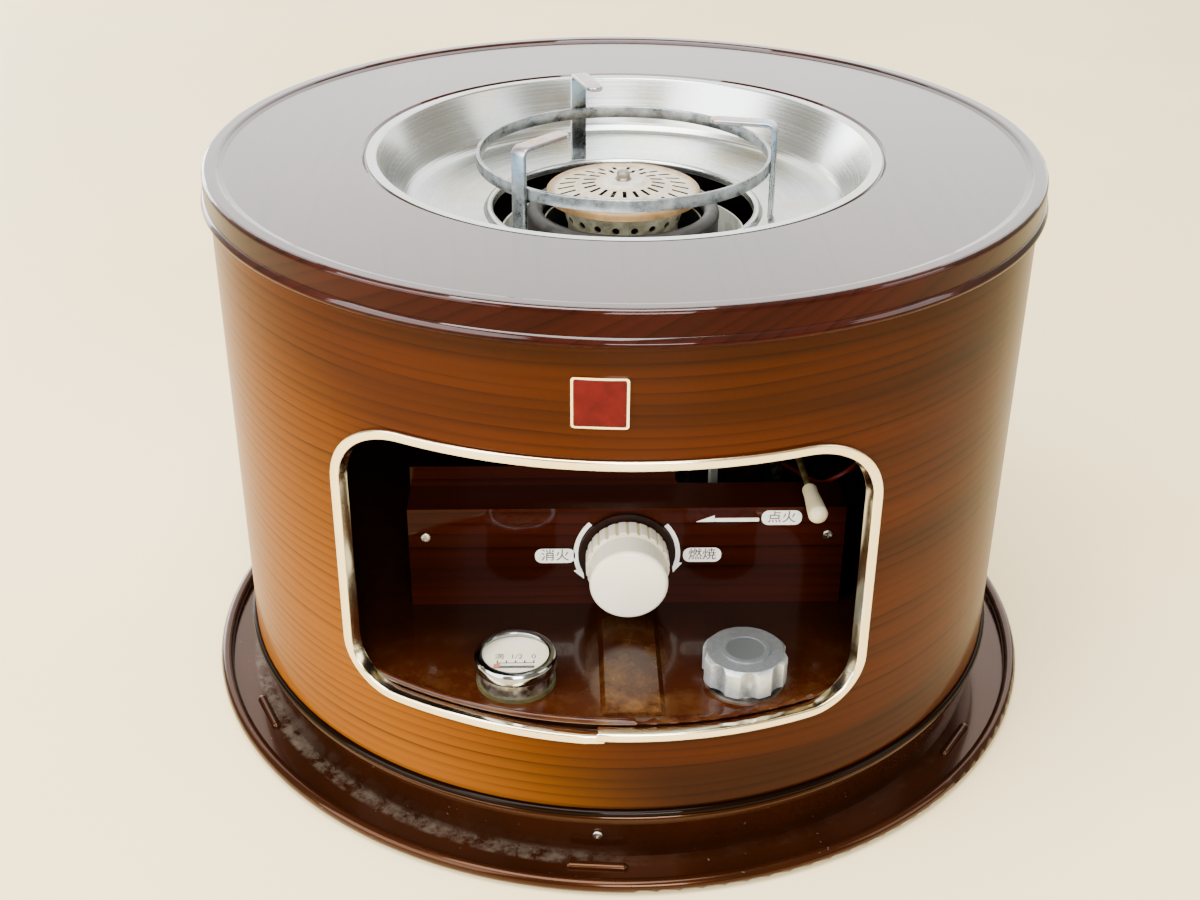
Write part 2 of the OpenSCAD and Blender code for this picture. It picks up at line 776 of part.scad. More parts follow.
module float_arm() {
    color(brass) float_frame(float_low) difference() {
        union() {
            rotate([90, 0, 0]) cylinder(r = pin_r + 2, h = arm_t, center = true);
            translate([-stem_w / 2, -arm_t / 2, 0]) cube([stem_w, arm_t, stem_l]);
            translate([-float_arm_l, 0, 0]) rotate([0, 90, 0])
                cylinder(r = float_rod_r, h = float_arm_l - pin_r - 0.5);
            translate([-float_arm_l, 0, 0]) sphere(r = float_rod_r);
            translate([-float_arm_l, 0, 0]) rotate([-90, 0, 0])
                cylinder(r = float_rod_r, h = float_y0 + float_l + 1.5);
        }
        rotate([90, 0, 0]) cylinder(r = pin_r + running_fit, h = 3 * arm_t, center = true);
    }
}

module float() {
    color("#cfa86a") float_frame(float_low) translate([-float_arm_l, float_y0, 0]) rotate([-90, 0, 0])
        ring(float_rod_r + running_fit, float_r, float_l);
}

module gauge_pointer() {
    color("#f08a1e") float_frame(float_low)
        translate([-2.6, -arm_t / 2 + 0.3, stem_l]) cube([5.2, arm_t - 0.6, pointer_h + 1.6]);
}

// Control panel

ledge_back = panel_front - ledge_d;
panel_hole_r = 7.3;
panel_return = 14;
panel_screw_x = panel_w / 2 - 9;
panel_screw_z = tank_top_z + panel_h * 0.72;
panel_screw_hole = 1.7;

module control_panel() {
    path = [[panel_front - panel_return, tank_top_z], [panel_front, tank_top_z], [panel_front, ledge_z],
        [ledge_back, ledge_z], [ledge_back, ledge_z + lip_h]];
    color("#54230f") difference() {
        union() {
            translate([-panel_w / 2, 0, 0]) rotate([90, 0, 90]) linear_extrude(height = panel_w)
                polygon([for (p = sheet(path, panel_t)) [-p[0], p[1]]]);
            for (x = [-panel_w / 2, panel_w / 2 - panel_t])
                translate([x, -panel_front, tank_top_z]) cube([panel_t, panel_return, panel_h]);
        }
        translate([notch_x + 4, -ledge_back - 2, ledge_z + 0.01]) cube([panel_w, 4, lip_h + 1]);
        translate([notch_x + 4, -ledge_back + 2, ledge_z + 4]) rotate([90, 0, 0]) cylinder(r = 4, h = 4);
        translate([notch_x, -ledge_back - 2, ledge_z + 4]) cube([5, 4, lip_h]);
        along_spindle(panel_front - 3) cylinder(r = panel_hole_r, h = 6);
        for (s = [-1, 1]) translate([s * panel_screw_x, -panel_front + 3, panel_screw_z]) rotate([90, 0, 0])
            cylinder(r = panel_screw_hole, h = 6);
    }
}

module panel_screws() {
    color(bright_steel) for (s = [-1, 1]) translate([s * panel_screw_x, -panel_front, panel_screw_z])
        rotate([90, 0, 0]) {
            cylinder(r1 = 2.8, r2 = 2, h = 1.5);
            translate([0, 0, -5]) cylinder(r = panel_screw_hole - seat_gap, h = 5);
        }
}

module knob_escutcheon() {
    color(black_steel) along_spindle(panel_front) difference() {
        cylinder(r = escutcheon_r, h = escutcheon_t);
        translate([0, 0, -1]) cylinder(r = panel_hole_r, h = escutcheon_t + 2);
        translate([0, 0, escutcheon_t - 0.6]) cylinder(r = knob_r + 1, h = 2);
    }
}

bush_r = panel_hole_r - seat_gap;

module spindle_bush() {
    color(brass) along_spindle(panel_front - panel_t) difference() {
        union() {
            translate([0, 0, -8]) cylinder(r = bush_r, h = 8 + panel_t + escutcheon_t - 0.6);
            translate([0, 0, -2]) cylinder(r = bush_r + 4, h = 2);
        }
        translate([0, 0, -9]) cylinder(r = spindle_r + running_fit, h = 20);
    }
}

// Wick drive

knob_back = panel_front + escutcheon_t + 0.4;
knob_bore_l = 20;
pinion_mid = tube_ro + 2.5 + pinion_w / 2;
pitch_r = tooth_m * pinion_teeth / 2;

module wick_knob() {
    flute_r = 1.2;
    nose_edge = 3;
    color(cream) along_spindle(knob_back) difference() {
        rotate_extrude() polygon(concat([[0, 0], [knob_r - 1, 0], [knob_r, 1], [knob_r, knob_skirt_l - 1.5],
            [knob_r - 1.5, knob_skirt_l], [knob_nose_r, knob_skirt_l + 0.5]],
            arc([knob_nose_r - nose_edge, knob_l - nose_edge], nose_edge, 0, 80), [[0, knob_l]]));
        translate([0, 0, -1]) cylinder(r = spindle_r + running_fit, h = knob_bore_l + 1);
        for (i = [0 : knob_flutes - 1]) rotate([0, 0, i * 360 / knob_flutes])
            translate([knob_r + flute_r * 0.35, 0, -1]) cylinder(r = flute_r, h = knob_skirt_l + 0.6);
    }
}

spindle_back = pinion_mid - pinion_w / 2 - 1;

module wick_spindle() {
    color(bright_steel) along_spindle(spindle_back)
        cylinder(r = spindle_r, h = knob_back + knob_bore_l - 1 - spindle_back);
}

// Involute flank of the pinion: half angle of a tooth at radius r, less the backlash
backlash = 2.2;
base_circle_r = pitch_r * cos(20);
function involute(a) = tan(a) * 180 / PI - a;
function tooth_half(r) =
    90 / pinion_teeth + involute(20) - involute(acos(min(1, base_circle_r / r))) - backlash / 2;
flank_r = [base_circle_r, pitch_r, pitch_r + tooth_m * 0.5, pitch_r + tooth_m * 0.9];
function tooth_flank(s, c) = [for (i = s > 0 ? [3 : -1 : 0] : [0 : 3])
    flank_r[i] * [cos(c + s * tooth_half(flank_r[i])), sin(c + s * tooth_half(flank_r[i]))]];
root_r = pitch_r - tooth_m * 1.2;

module wick_pinion() {
    pts = [for (i = [0 : pinion_teeth - 1]) let (c = i * 360 / pinion_teeth, h = tooth_half(base_circle_r))
        each concat([root_r * [cos(c - h), sin(c - h)]], tooth_flank(-1, c), tooth_flank(1, c),
            [root_r * [cos(c + h), sin(c + h)]])];
    color(brass) along_spindle(pinion_mid - pinion_w / 2) difference() {
        linear_extrude(height = pinion_w) polygon(pts);
        translate([0, 0, -1]) cylinder(r = spindle_r + running_fit, h = pinion_w + 2);
    }
}

bracket_front = pinion_mid + pinion_w / 2 + 4;
bracket_w = 34;
bracket_t = 2;

module spindle_bracket() {
    color(zinc) difference() {
        union() {
            translate([-bracket_w / 2, -bracket_front - bracket_t, tank_top_z])
                cube([bracket_w, bracket_t, spindle_h]);
            along_spindle(bracket_front) cylinder(r = bracket_w / 2, h = bracket_t);
            translate([-bracket_w / 2, -bracket_front - 10, tank_top_z]) cube([bracket_w, 10, bracket_t]);
            along_spindle(bracket_front) cylinder(r = spindle_r + 3, h = 6);
        }
        along_spindle(bracket_front - 1) cylinder(r = spindle_r + running_fit, h = 10);
    }
}

ratchet_r = 15;
ratchet_t = 2.5;
ratchet_teeth = 24;
ratchet_front = bracket_front + 12;

module shutoff_ratchet() {
    pts = [for (i = [0 : ratchet_teeth - 1]) each [
        ratchet_r * [cos(i * 360 / ratchet_teeth), sin(i * 360 / ratchet_teeth)],
        (ratchet_r - 1.8) * [cos((i + 0.85) * 360 / ratchet_teeth), sin((i + 0.85) * 360 / ratchet_teeth)]]];
    color(zinc) along_spindle(ratchet_front) difference() {
        union() {
            linear_extrude(height = ratchet_t) polygon(pts);
            cylinder(r = spindle_r + 3, h = ratchet_t + 3);
        }
        translate([0, 0, -1]) cylinder(r = spindle_r + running_fit, h = ratchet_t + 6);
    }
}

// Torsion spring round the spindle: an eight-sided wire swept along a helix
spring_wire = 0.7;
spring_r = bush_r - spring_wire;
spring_turns = 5;
spring_steps = 16;
spring_front = ratchet_front + ratchet_t + 3 + moving_gap;
spring_l = panel_front - panel_t - 8 - moving_gap - spring_front - 2 * spring_wire;

// Faces of a swept wire of n steps with eight points in each ring
function wire_faces(n) = concat(
    [[for (k = [0 : 7]) k]],
    [for (i = [0 : n - 1], k = [0 : 7]) let (a = i * 8 + k, b = i * 8 + (k + 1) % 8)
        each [[a, a + 8, b + 8], [a, b + 8, b]]],
    [[for (k = [7 : -1 : 0]) n * 8 + k]]);

module return_spring() {
    n = spring_turns * spring_steps;
    pts = [for (i = [0 : n], k = [0 : 7])
        let (a = i * 360 / spring_steps, q = k * 45, r = spring_r + spring_wire * cos(q))
        [r * cos(a), r * sin(a), spring_wire * (1 - sin(q)) + spring_l * i / n]];
    color(bright_steel) along_spindle(spring_front) polyhedron(points = pts, faces = wire_faces(n));
}

// Tip-over weight that hangs beside the ratchet
weight_x = -46;
weight_r = 9;
weight_l = 24;
weight_pin_rise = 26;
weight_pin_z = spindle_z + weight_pin_rise;
cheek_w = 10;
weight_pin_r = 2;
weight_front = ratchet_front + ratchet_t / 2;
cheek_t = 2;
cheek_gap = 10;

module weight_at() {
    translate([weight_x, -weight_front, weight_pin_z]) rotate([0, 90, 0]) children();
}

module shutoff_bracket() {
    color(zinc) {
        for (s = [-1, 1])
            translate([weight_x + s * (cheek_gap + cheek_t) - cheek_t / 2, -weight_front - cheek_w / 2,
                tank_top_z]) cube([cheek_t, cheek_w, weight_pin_z - tank_top_z + cheek_w / 2]);
        translate([weight_x - cheek_gap - cheek_t, -weight_front - cheek_w / 2, tank_top_z])
            cube([2 * (cheek_gap + cheek_t), cheek_w, cheek_t]);
        weight_at() cylinder(r = weight_pin_r, h = 2 * (cheek_gap + cheek_t), center = true);
    }
}

module shutoff_weight() {
    color(brass) {
        weight_at() difference() {
            cylinder(r = weight_pin_r + 2, h = 8, center = true);
            cylinder(r = weight_pin_r + running_fit, h = 10, center = true);
        }
        translate([weight_x, -weight_front, weight_pin_z - weight_pin_r - 1 - 14])
            cylinder(r = 1.6, h = 14);
        translate([weight_x, -weight_front, weight_pin_z - weight_pin_r - 14 - weight_l])
            cylinder(r = weight_r, h = weight_l);
    }
}

// Wick and its tubes

module draught_tube() {
    color(zinc) translate([0, 0, tank_z0 - draught_flange_t]) {
        ring(draught_r - wick_sheet, draught_r, seat_z - tank_z0 + draught_flange_t);
        ring(draught_r - wick_sheet, draught_r + draught_flange_w, draught_flange_t);
    }
}

draught_flange_t = 1.2;
seat_flange_r = tube_ro + 5;
tube_foot_r = tube_ro + 12;
rack_low = 16 * tooth_m;
rack_high = 6 * tooth_m;
rack_x = 4;
wick_lift = pitch_r * 100 * PI / 180;
link_z0 = spindle_z - 6;
link_h = 10;

module wick_tube() {
    color(zinc) difference() {
        union() {
            translate([0, 0, tank_top_z]) ring(tube_ri, tube_ro, seat_h);
            translate([0, 0, tank_top_z]) ring(tube_ri, tube_foot_r, 1.2);
            translate([0, 0, seat_z - 1]) ring(tube_ri, seat_flange_r, 1);
        }
        translate([-pitch_r - rack_x - 2, -tube_ro - 2, link_z0 - 2])
            cube([rack_x + 5, tube_ro / 2, link_h + wick_lift + 4]);
    }
}

module wick() {
    color("#efe9da") translate([0, 0, seat_z - wick_l]) ring(wick_ri, wick_ro, wick_l - 1);
}

// Flat rack on the wick sleeve: its teeth face the pinion and stay short of the pinion's base circle
module wick_sleeve() {
    pitch = PI * tooth_m;
    add = 0.62 * tooth_m;
    ded = 1.25 * tooth_m;
    half = pitch / 4 - 0.12;
    low = -floor(rack_low / pitch);
    high = floor(rack_high / pitch);
    teeth = [for (i = [low : high]) let (z = (i + 0.5) * pitch) each [
        [-ded, z - half - ded * tan(20)], [add, z - half + add * tan(20)],
        [add, z + half - add * tan(20)], [-ded, z + half + ded * tan(20)]]];
    foot = low * pitch - 1.5;
    head = (high + 1) * pitch + 1.5;
    sleeve_z = seat_z - 64;
    color(zinc) {
        translate([0, 0, sleeve_z]) ring(sleeve_ri, sleeve_ro, 50);
        translate([-pitch_r, -pinion_mid + pinion_w / 2, spindle_z]) rotate([90, 0, 0])
            linear_extrude(height = pinion_w)
                polygon(concat([[-rack_x, foot], [-ded, foot]], teeth, [[-ded, head], [-rack_x, head]]));
        intersection() {
            translate([-pitch_r - rack_x, -pinion_mid, link_z0]) cube([2.4, pinion_mid, link_h]);
            translate([0, 0, link_z0]) ring(sleeve_ri + wick_sheet / 2, pinion_mid + pinion_w, link_h);
            translate([-pinion_mid, -2 * pinion_mid, link_z0])
                cube([2 * pinion_mid, 2 * pinion_mid - sleeve_ri / 2, link_h]);
        }
    }
}

// Heat shield round the burner

shield_floor_z = tank_top_z + shield_floor_h;
lever_z = ledge_z + lever_lift;
shield_slot_z = lever_z + 4;
ramp_r = 32;
slot_rest = ramp_r + 6;
slot_swung = ramp_r * sin(lever_swing) + 8;

module heat_shield() {
    color(zinc) difference() {
        union() {
            translate([0, 0, shield_floor_z]) ring(shield_r - shield_t, shield_r, shield_h);
            translate([0, 0, shield_floor_z]) ring(tube_ro + seat_gap, shield_r, shield_t);
        }
        translate([shield_r - 20, -slot_rest, shield_slot_z]) cube([30, slot_rest + slot_swung, 24]);
    }
}

shield_leg_r = 60;

module shield_legs() {
    color(zinc) for (a = [90, 210, 330]) rotate([0, 0, a]) {
        translate([shield_leg_r, -5, tank_top_z]) cube([1.5, 10, shield_floor_h]);
        translate([shield_leg_r, -5, tank_top_z]) cube([9, 10, 1.5]);
    }
}

// Burner: jacket, two perforated flame tubes and the slotted spreader on top

jacket_t = 1;
jacket_foot = 5.7;
jacket_top_z = burner_z + jacket_top;
jacket_flange_w = 5.4;
lug_z = burner_z + jacket_foot;
tube_t = 1;
pin_z = burner_z + 18;
burner_pin_r = 1.2;
burner_pins_n = 3;
inner_top = spreader_z - 4;
flare_in = 4;
flare_h = 17;
flare_ports = 20;
neck_tube_r = inner_tube_r - tube_t - flare_in;

module burner_pin_holes() {
    for (i = [0 : burner_pins_n - 1]) rotate([0, 0, 30 + i * 360 / burner_pins_n]) translate([0, 0, pin_z])
        rotate([0, 90, 0]) cylinder(r = burner_pin_r + seat_gap / 2, h = jacket_r + 5);
}

module burner_jacket() {
    roll_z = jacket_top_z - jacket_roll_r;
    wall_r = jacket_r - 0.5;
    color("#4b4a48") difference() {
        union() {
            rotate_extrude() {
                translate([wall_r - jacket_t, lug_z]) square([jacket_t, roll_z - lug_z]);
                translate([jacket_r - jacket_roll_r, roll_z]) circle(r = jacket_roll_r);
                translate([wall_r - jacket_t, lug_z]) square([jacket_flange_w + jacket_t, 1]);
            }
            translate([jacket_r, -1.2, lug_z]) cube([lever_x - ramp_r + 2 - jacket_r, 2.4, 2]);
        }
        burner_pin_holes();
    }
}

module flame_tube_holes(r, z0, rows, step, n) {
    for (k = [0 : rows - 1], i = [0 : n - 1]) rotate([0, 0, (i + (k % 2) / 2) * 360 / n])
        translate([r - 4, 0, z0 + k * step]) rotate([0, 90, 0]) cylinder(r = tube_hole_r, h = 8, $fn = 24);
}

module outer_flame_tube() {
    color("#8a7f6a") difference() {
        translate([0, 0, burner_z]) ring(outer_tube_r - tube_t, outer_tube_r, jacket_top - 9);
        flame_tube_holes(outer_tube_r, burner_z + 34, 5, 11, tube_holes);
        burner_pin_holes();
    }
}

module inner_flame_tube() {
    color("#a89f80") difference() {
        union() {
            translate([0, 0, burner_z]) rotate_extrude() polygon(sheet([[neck_tube_r, 0],
                [neck_tube_r, inner_top - flare_h], [inner_tube_r - tube_t, inner_top - flare_h / 4],
                [inner_tube_r - tube_t, inner_top]], -tube_t));
            translate([0, 0, burner_z]) ring(neck_tube_r, draught_r - 0.2, 1);
        }
        flame_tube_holes(neck_tube_r, burner_z + 34, 6, 10, tube_holes);
        for (i = [0 : flare_ports - 1]) rotate([0, 0, (i + 0.5) * 360 / flare_ports])
            translate([inner_tube_r - flare_in / 2 - 4, 0, burner_z + inner_top - flare_h * 0.62])
                rotate([0, 90, 0]) cylinder(r = tube_hole_r, h = 8, $fn = 24);
        burner_pin_holes();
    }
}

module spreader_slots(n, r0, r1, w) {
    for (i = [0 : n - 1]) rotate([0, 0, i * 360 / n]) translate([r0, -w / 2, -20]) cube([r1 - r0, w, 40]);
}

spreader_t = 1;
spreader_rise = 5.4;
screw_r = 4.4;
screw_hole_r = 2;

module flame_spreader() {
    crown = spreader_rise;
    path = concat([[screw_hole_r, crown], [10.5, crown], [12.5, crown - 1.4], [14, crown - 1.4]],
        [[spreader_r * 0.57, crown * 0.5], [spreader_r * 0.61, crown * 0.34], [spreader_r * 0.89, -0.4]],
        arc([spreader_r - 1.8, -0.8], 1.8, 150, 0, 6), [[spreader_r, -3.4]]);
    color("#d9ccaf") translate([0, 0, burner_z + spreader_z - 2]) difference() {
        union() {
            rotate_extrude() polygon(sheet(path, -spreader_t));
            translate([0, 0, -2]) ring(inner_tube_r - tube_t, inner_tube_r, 1.5);
        }
        spreader_slots(spreader_inner_n, 15.5, 22.5, 2.1);
        spreader_slots(spreader_outer_n, 26.6, 35.6, 2);
    }
}

module spreader_screw() {
    color(zinc) translate([0, 0, burner_z + spreader_z - 2 + spreader_rise]) {
        rotate_extrude() polygon(concat([[0, 0], [screw_r, 0], [screw_r, 0.8], [screw_r - 0.8, 1.4]],
            [[screw_r - 0.8, 3]], arc([screw_r - 2.2, 3.4], 1.4, 0, 90, 4), [[0, 4.8]]));
        translate([0, 0, -8]) cylinder(r = screw_hole_r - seat_gap, h = 8);
    }
}

module burner_pins() {
    color(zinc) for (i = [0 : burner_pins_n - 1]) rotate([0, 0, 30 + i * 360 / burner_pins_n])
        translate([neck_tube_r - 2, 0, pin_z]) rotate([0, 90, 0])
            cylinder(r = burner_pin_r, h = jacket_r + 4 - neck_tube_r);
}

// Ignition lever: pivot post, rod with moulded tip, lifting ramp and igniter

post_r = 5;
pivot_r = 3;
hub_r = 7;
hub_low = lever_z - 6;
hub_rise = 10;
hub_high = lever_z + hub_rise;
ramp_low = lug_z - 1.1;
ramp_high = ramp_low + burner_rise - 0.3;
igniter_r = 48.6;
igniter_turn = 2;

module lever_pivot() {
    color(zinc) translate([lever_x, 0, 0]) {
        translate([0, 0, tank_top_z]) cylinder(r = post_r, h = hub_low - moving_gap - tank_top_z);
        translate([0, 0, tank_top_z]) cylinder(r = post_r + 7, h = 1.5);
        translate([0, 0, tank_top_z]) cylinder(r = pivot_r, h = hub_high + 3 - tank_top_z);
        translate([0, 0, hub_high + moving_gap]) cylinder(r = pivot_r + 2, h = 1.5);
    }
}

module lever_frame() {
    translate([lever_x, 0, 0]) rotate([0, 0, lever_rest]) children();
}

// Direction of a spoke on the lever's inner side, counted from the axis side of the hub
module lever_spoke(a) {
    translate([lever_x, 0, 0]) rotate([0, 0, 180 + a]) children();
}

// Wedge on the lever's sector that runs in under the burner's lug and raises it
ramp_w = 5;
ramp_chord = 2 * ramp_r * sin(lever_swing / 2);
sector_t = 3;
sector_z = hub_high - sector_t - 0.5;

module lever_ramp() {
    low = ramp_low - sector_z;
    high = ramp_high - sector_z;
    lever_spoke(0) translate([ramp_r, 0, sector_z]) rotate([0, 0, 90 + lever_swing / 2]) rotate([90, 0, 0])
        translate([0, 0, -ramp_w / 2]) linear_extrude(height = ramp_w)
            polygon([[-2.5, 1], [ramp_chord + 2.5, 1], [ramp_chord + 2.5, high], [ramp_chord - 2, high],
                [2, low], [-2.5, low]]);
}

module lever_arm() {
    color("#b9b08f") difference() {
        union() {
            translate([lever_x, 0, hub_low]) cylinder(r = hub_r, h = hub_high - hub_low);
            lever_frame() translate([0, -hub_r + 1, lever_z]) rotate([90, 0, 0])
                cylinder(r = lever_rod_r, h = lever_l - hub_r - 3);
            lever_spoke(0) translate([0, 0, sector_z]) linear_extrude(height = sector_t) {
                polygon([[0, -4], [ramp_r, -3], ramp_r * [cos(lever_swing), sin(lever_swing)], [-2, 4]]);
                rotate(lever_swing + igniter_turn) translate([0, -2.5]) square([igniter_r - 4, 5]);
            }
            lever_ramp();
        }
        translate([lever_x, 0, hub_low - 1]) cylinder(r = pivot_r + running_fit, h = hub_high - hub_low + 2);
    }
}

module lever_tip() {
    bore = lever_rod_r + running_fit;
    back_r = lever_rod_r + 1.6;
    section = concat([[0, 0], [back_r, 0], [back_r + 0.6, 1], [back_r + 0.6, 7]],
        [[lever_tip_r * 0.86, lever_tip_l - 13]], arc([0, lever_tip_l - lever_tip_r], lever_tip_r, 20, 90));
    color(cream) lever_frame() translate([0, -lever_l + lever_tip_l, lever_z]) rotate([90, 0, 0])
        difference() {
            rotate_extrude() polygon(section);
            translate([0, 0, -1]) cylinder(r = bore, h = lever_tip_l - 3);
        }
}

igniter_z = burner_z + 3.2;

module igniter() {
    color("#e8e4da") lever_spoke(lever_swing + igniter_turn) {
        translate([igniter_r - 4 - 3, 0, sector_z + sector_t])
            cylinder(r = 2, h = igniter_z - sector_z - sector_t);
        translate([igniter_r - 4 - 3, 0, igniter_z]) rotate([0, 90, 0]) cylinder(r = 1.6, h = 7);
    }
}

// Battery case at the back of the tank, behind a cover in the drum

case_half_w = cell_l + seat_gap + case_t;
case_half_d = cell_r + seat_gap + case_t;
cover_back_r = drum_r - drum_t - 1;

module battery_case() {
    color(black_steel) casing() intersection() {
        difference() {
            translate([-case_half_w, cell_back - case_half_d, tank_top_z])
                cube([2 * case_half_w, drum_r, 2 * case_half_d]);
            translate([-case_half_w + case_t, cell_back - case_half_d + case_t, tank_top_z + case_t])
                cube([2 * (case_half_w - case_t), drum_r, 2 * (case_half_d - case_t)]);
            translate([0, 0, tank_top_z - 1])
                ring(tank_top_r - 2 * tank_edge_r - moving_gap, drum_r, 2 * tank_edge_r + moving_gap + 1);
        }
        translate([0, 0, tank_top_z]) cylinder(r = cover_back_r - moving_gap, h = 2 * case_half_d);
    }
}

module battery_cells() {
    color("#8a6a2a") casing() for (s = [-1, 0])
        translate([s * cell_l, cell_back, tank_top_z + case_half_d]) rotate([0, 90, 0]) {
            translate([0, 0, seat_gap]) cylinder(r = cell_r, h = cell_l - 2);
            cylinder(r = 4.5, h = cell_l - seat_gap);
        }
}

module battery_cover() {
    color(black_steel) casing() difference() {
        intersection() {
            battery_doorway();
            translate([0, 0, cover_z - cover_h]) ring(cover_back_r, drum_r + 0.4, 2 * cover_h);
        }
        translate([0, drum_r + 10.5, cover_z + cover_h / 2 - 8]) sphere(r = 12);
    }
}

// Igniter lead: a red wire swept from the battery case, round the panel's right end, to the lever post

lead_r = 1.1;
function turned(p) = [p[0] * cos(casing_turn) - p[1] * sin(casing_turn),
    p[0] * sin(casing_turn) + p[1] * cos(casing_turn), p[2]];
panel_end = panel_w / 2;
lead_route = [turned([case_half_w + 2 * seat_gap, cell_back, cover_z]),
    turned([case_half_w + 14, cell_back - 5, cover_z + 1]), [112, 144, cover_z + 4], [130, 108, cover_z + 12],
    [139, 62, cover_z + 20], [141, 15, cover_z + 28], [panel_end + 22, -32, ledge_z - 3],
    [panel_end + 14, -64, ledge_z + 4], [panel_end + 7, -80, ledge_z + 7], [panel_end - 2, -82, ledge_z + 2],
    [panel_end - 7, -70, ledge_z - 8], [lever_x + 13, -40, ledge_z - 22], [lever_x + 10, -14, ledge_z - 32],
    [lever_x + post_r + lead_r, 0, ledge_z - 36]];
lead_steps = 3;

function route_at(t) =
    let (n = len(lead_route) - 1, i = min(floor(t), n - 1), f = t - i,
         a = lead_route[max(i - 1, 0)], b = lead_route[i],
         c = lead_route[i + 1], d = lead_route[min(i + 2, n)])
    b + f * (c - a) / 2 + f * f * (2 * a - 5 * b + 4 * c - d) / 2 + f * f * f * (3 * b - 3 * c + d - a) / 2;
function route_way(t) =
    let (n = len(lead_route) - 1, d = route_at(min(t + 0.05, n)) - route_at(max(t - 0.05, 0)))
    d / norm(d);

module igniter_lead() {
    n = (len(lead_route) - 1) * lead_steps;
    pts = [for (i = [0 : n])
        let (p = route_at(i / lead_steps), u = route_way(i / lead_steps), c = cross(u, [0, 0, 1]),
             v = c / norm(c), w = cross(u, v))
        each [for (k = [0 : 7]) p + lead_r * (cos(k * 45) * v + sin(k * 45) * w)]];
    color("#b01515") polyhedron(points = pts, faces = wire_faces(n));
}

floor_tray();
base_ring();
base_screws();
outer_drum();
window_trim();
badge_plate();
top_plate();
drip_bowl();
trivet_ring();
trivet_legs();
tank_shell();
tank_top();
filler_neck();
cap_gasket();
filler_cap();
gauge_seal();
gauge_body();
gauge_dial();
gauge_lens();
gauge_bezel();
float_arm();
float();
gauge_pointer();
control_panel();
panel_screws();
knob_escutcheon();
spindle_bush();
wick_knob();
wick_spindle();
wick_pinion();
spindle_bracket();
shutoff_ratchet();
return_spring();
shutoff_bracket();
shutoff_weight();
draught_tube();
wick_tube();
wick();
wick_sleeve();
heat_shield();
shield_legs();
burner_jacket();
outer_flame_tube();
inner_flame_tube();
flame_spreader();
spreader_screw();
burner_pins();
lever_pivot();
lever_arm();
lever_tip();
igniter();
igniter_lead();
battery_case();
battery_cells();
battery_cover();
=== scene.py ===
import math

import bpy
from mathutils import Matrix, Vector


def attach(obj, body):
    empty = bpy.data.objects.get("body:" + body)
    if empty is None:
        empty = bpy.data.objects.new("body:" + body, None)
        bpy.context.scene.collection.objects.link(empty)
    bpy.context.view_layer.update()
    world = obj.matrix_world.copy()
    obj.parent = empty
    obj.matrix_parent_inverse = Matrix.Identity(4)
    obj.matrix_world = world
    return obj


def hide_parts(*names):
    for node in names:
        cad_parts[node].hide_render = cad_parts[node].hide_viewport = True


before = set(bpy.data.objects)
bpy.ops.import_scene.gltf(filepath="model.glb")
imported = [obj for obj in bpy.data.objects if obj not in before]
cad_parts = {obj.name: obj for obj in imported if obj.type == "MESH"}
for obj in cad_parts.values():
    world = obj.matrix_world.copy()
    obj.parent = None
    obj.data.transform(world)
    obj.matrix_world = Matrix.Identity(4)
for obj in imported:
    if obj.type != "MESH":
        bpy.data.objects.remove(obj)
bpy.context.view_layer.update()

# Camera: it stands in front of the heater, a little to the left, and looks down on it from the height of a
# person who bends over it. The lens is a long normal one.
camera_at, camera_pan, camera_tilt, camera_roll = (-0.03347, -0.82844, 0.57609), -1.5, 61.08, 0.357
view = bpy.data.cameras.new("view")
view.lens = 48.0
view.sensor_width = 36.0
view.sensor_fit = "HORIZONTAL"
camera = bpy.data.objects.new("view", view)
bpy.context.scene.collection.objects.link(camera)
camera.matrix_world = (Matrix.Translation(camera_at)
                       @ Matrix.Rotation(math.radians(camera_pan), 4, "Z")
                       @ Matrix.Rotation(math.radians(camera_tilt), 4, "X")
                       @ Matrix.Rotation(math.radians(camera_roll), 4, "Z"))
bpy.context.scene.camera = camera

# Pale floor: smooth matt board under the heater, with a faint cloudiness about 400 mm across. It is the stage
# and no part of the object.
mm = 0.001


def linear(code):
    channels = [int(code[i:i + 2], 16) / 255 for i in (1, 3, 5)]
    return [c / 12.92 if c <= 0.04045 else ((c + 0.055) / 1.055) ** 2.4 for c in channels] + [1.0]


def add(tree, kind, inputs=(), **settings):
    node = tree.nodes.new(kind)
    for name, value in settings.items():
        setattr(node, name, value)
    for socket, value in dict(inputs).items():
        if isinstance(value, bpy.types.NodeSocket):
            tree.links.new(value, node.inputs[socket])
        else:
            node.inputs[socket].default_value = value
    return node


def material(name, **sockets):
    made = bpy.data.materials.new(name)
    made.use_nodes = True
    shader = made.node_tree.nodes["Principled BSDF"]
    for socket, value in sockets.items():
        shader.inputs[socket.replace("_", " ")].default_value = value
    place = add(made.node_tree, "ShaderNodeTexCoord").outputs["Object"]
    return made, made.node_tree, shader, place


def wire(tree, shader, tone, wear=None, relief=None):
    tree.links.new(tone.outputs[2], shader.inputs["Base Color"])
    for socket, node in (("Roughness", wear), ("Normal", relief)):
        if node is not None:
            tree.links.new(node.outputs[0], shader.inputs[socket])


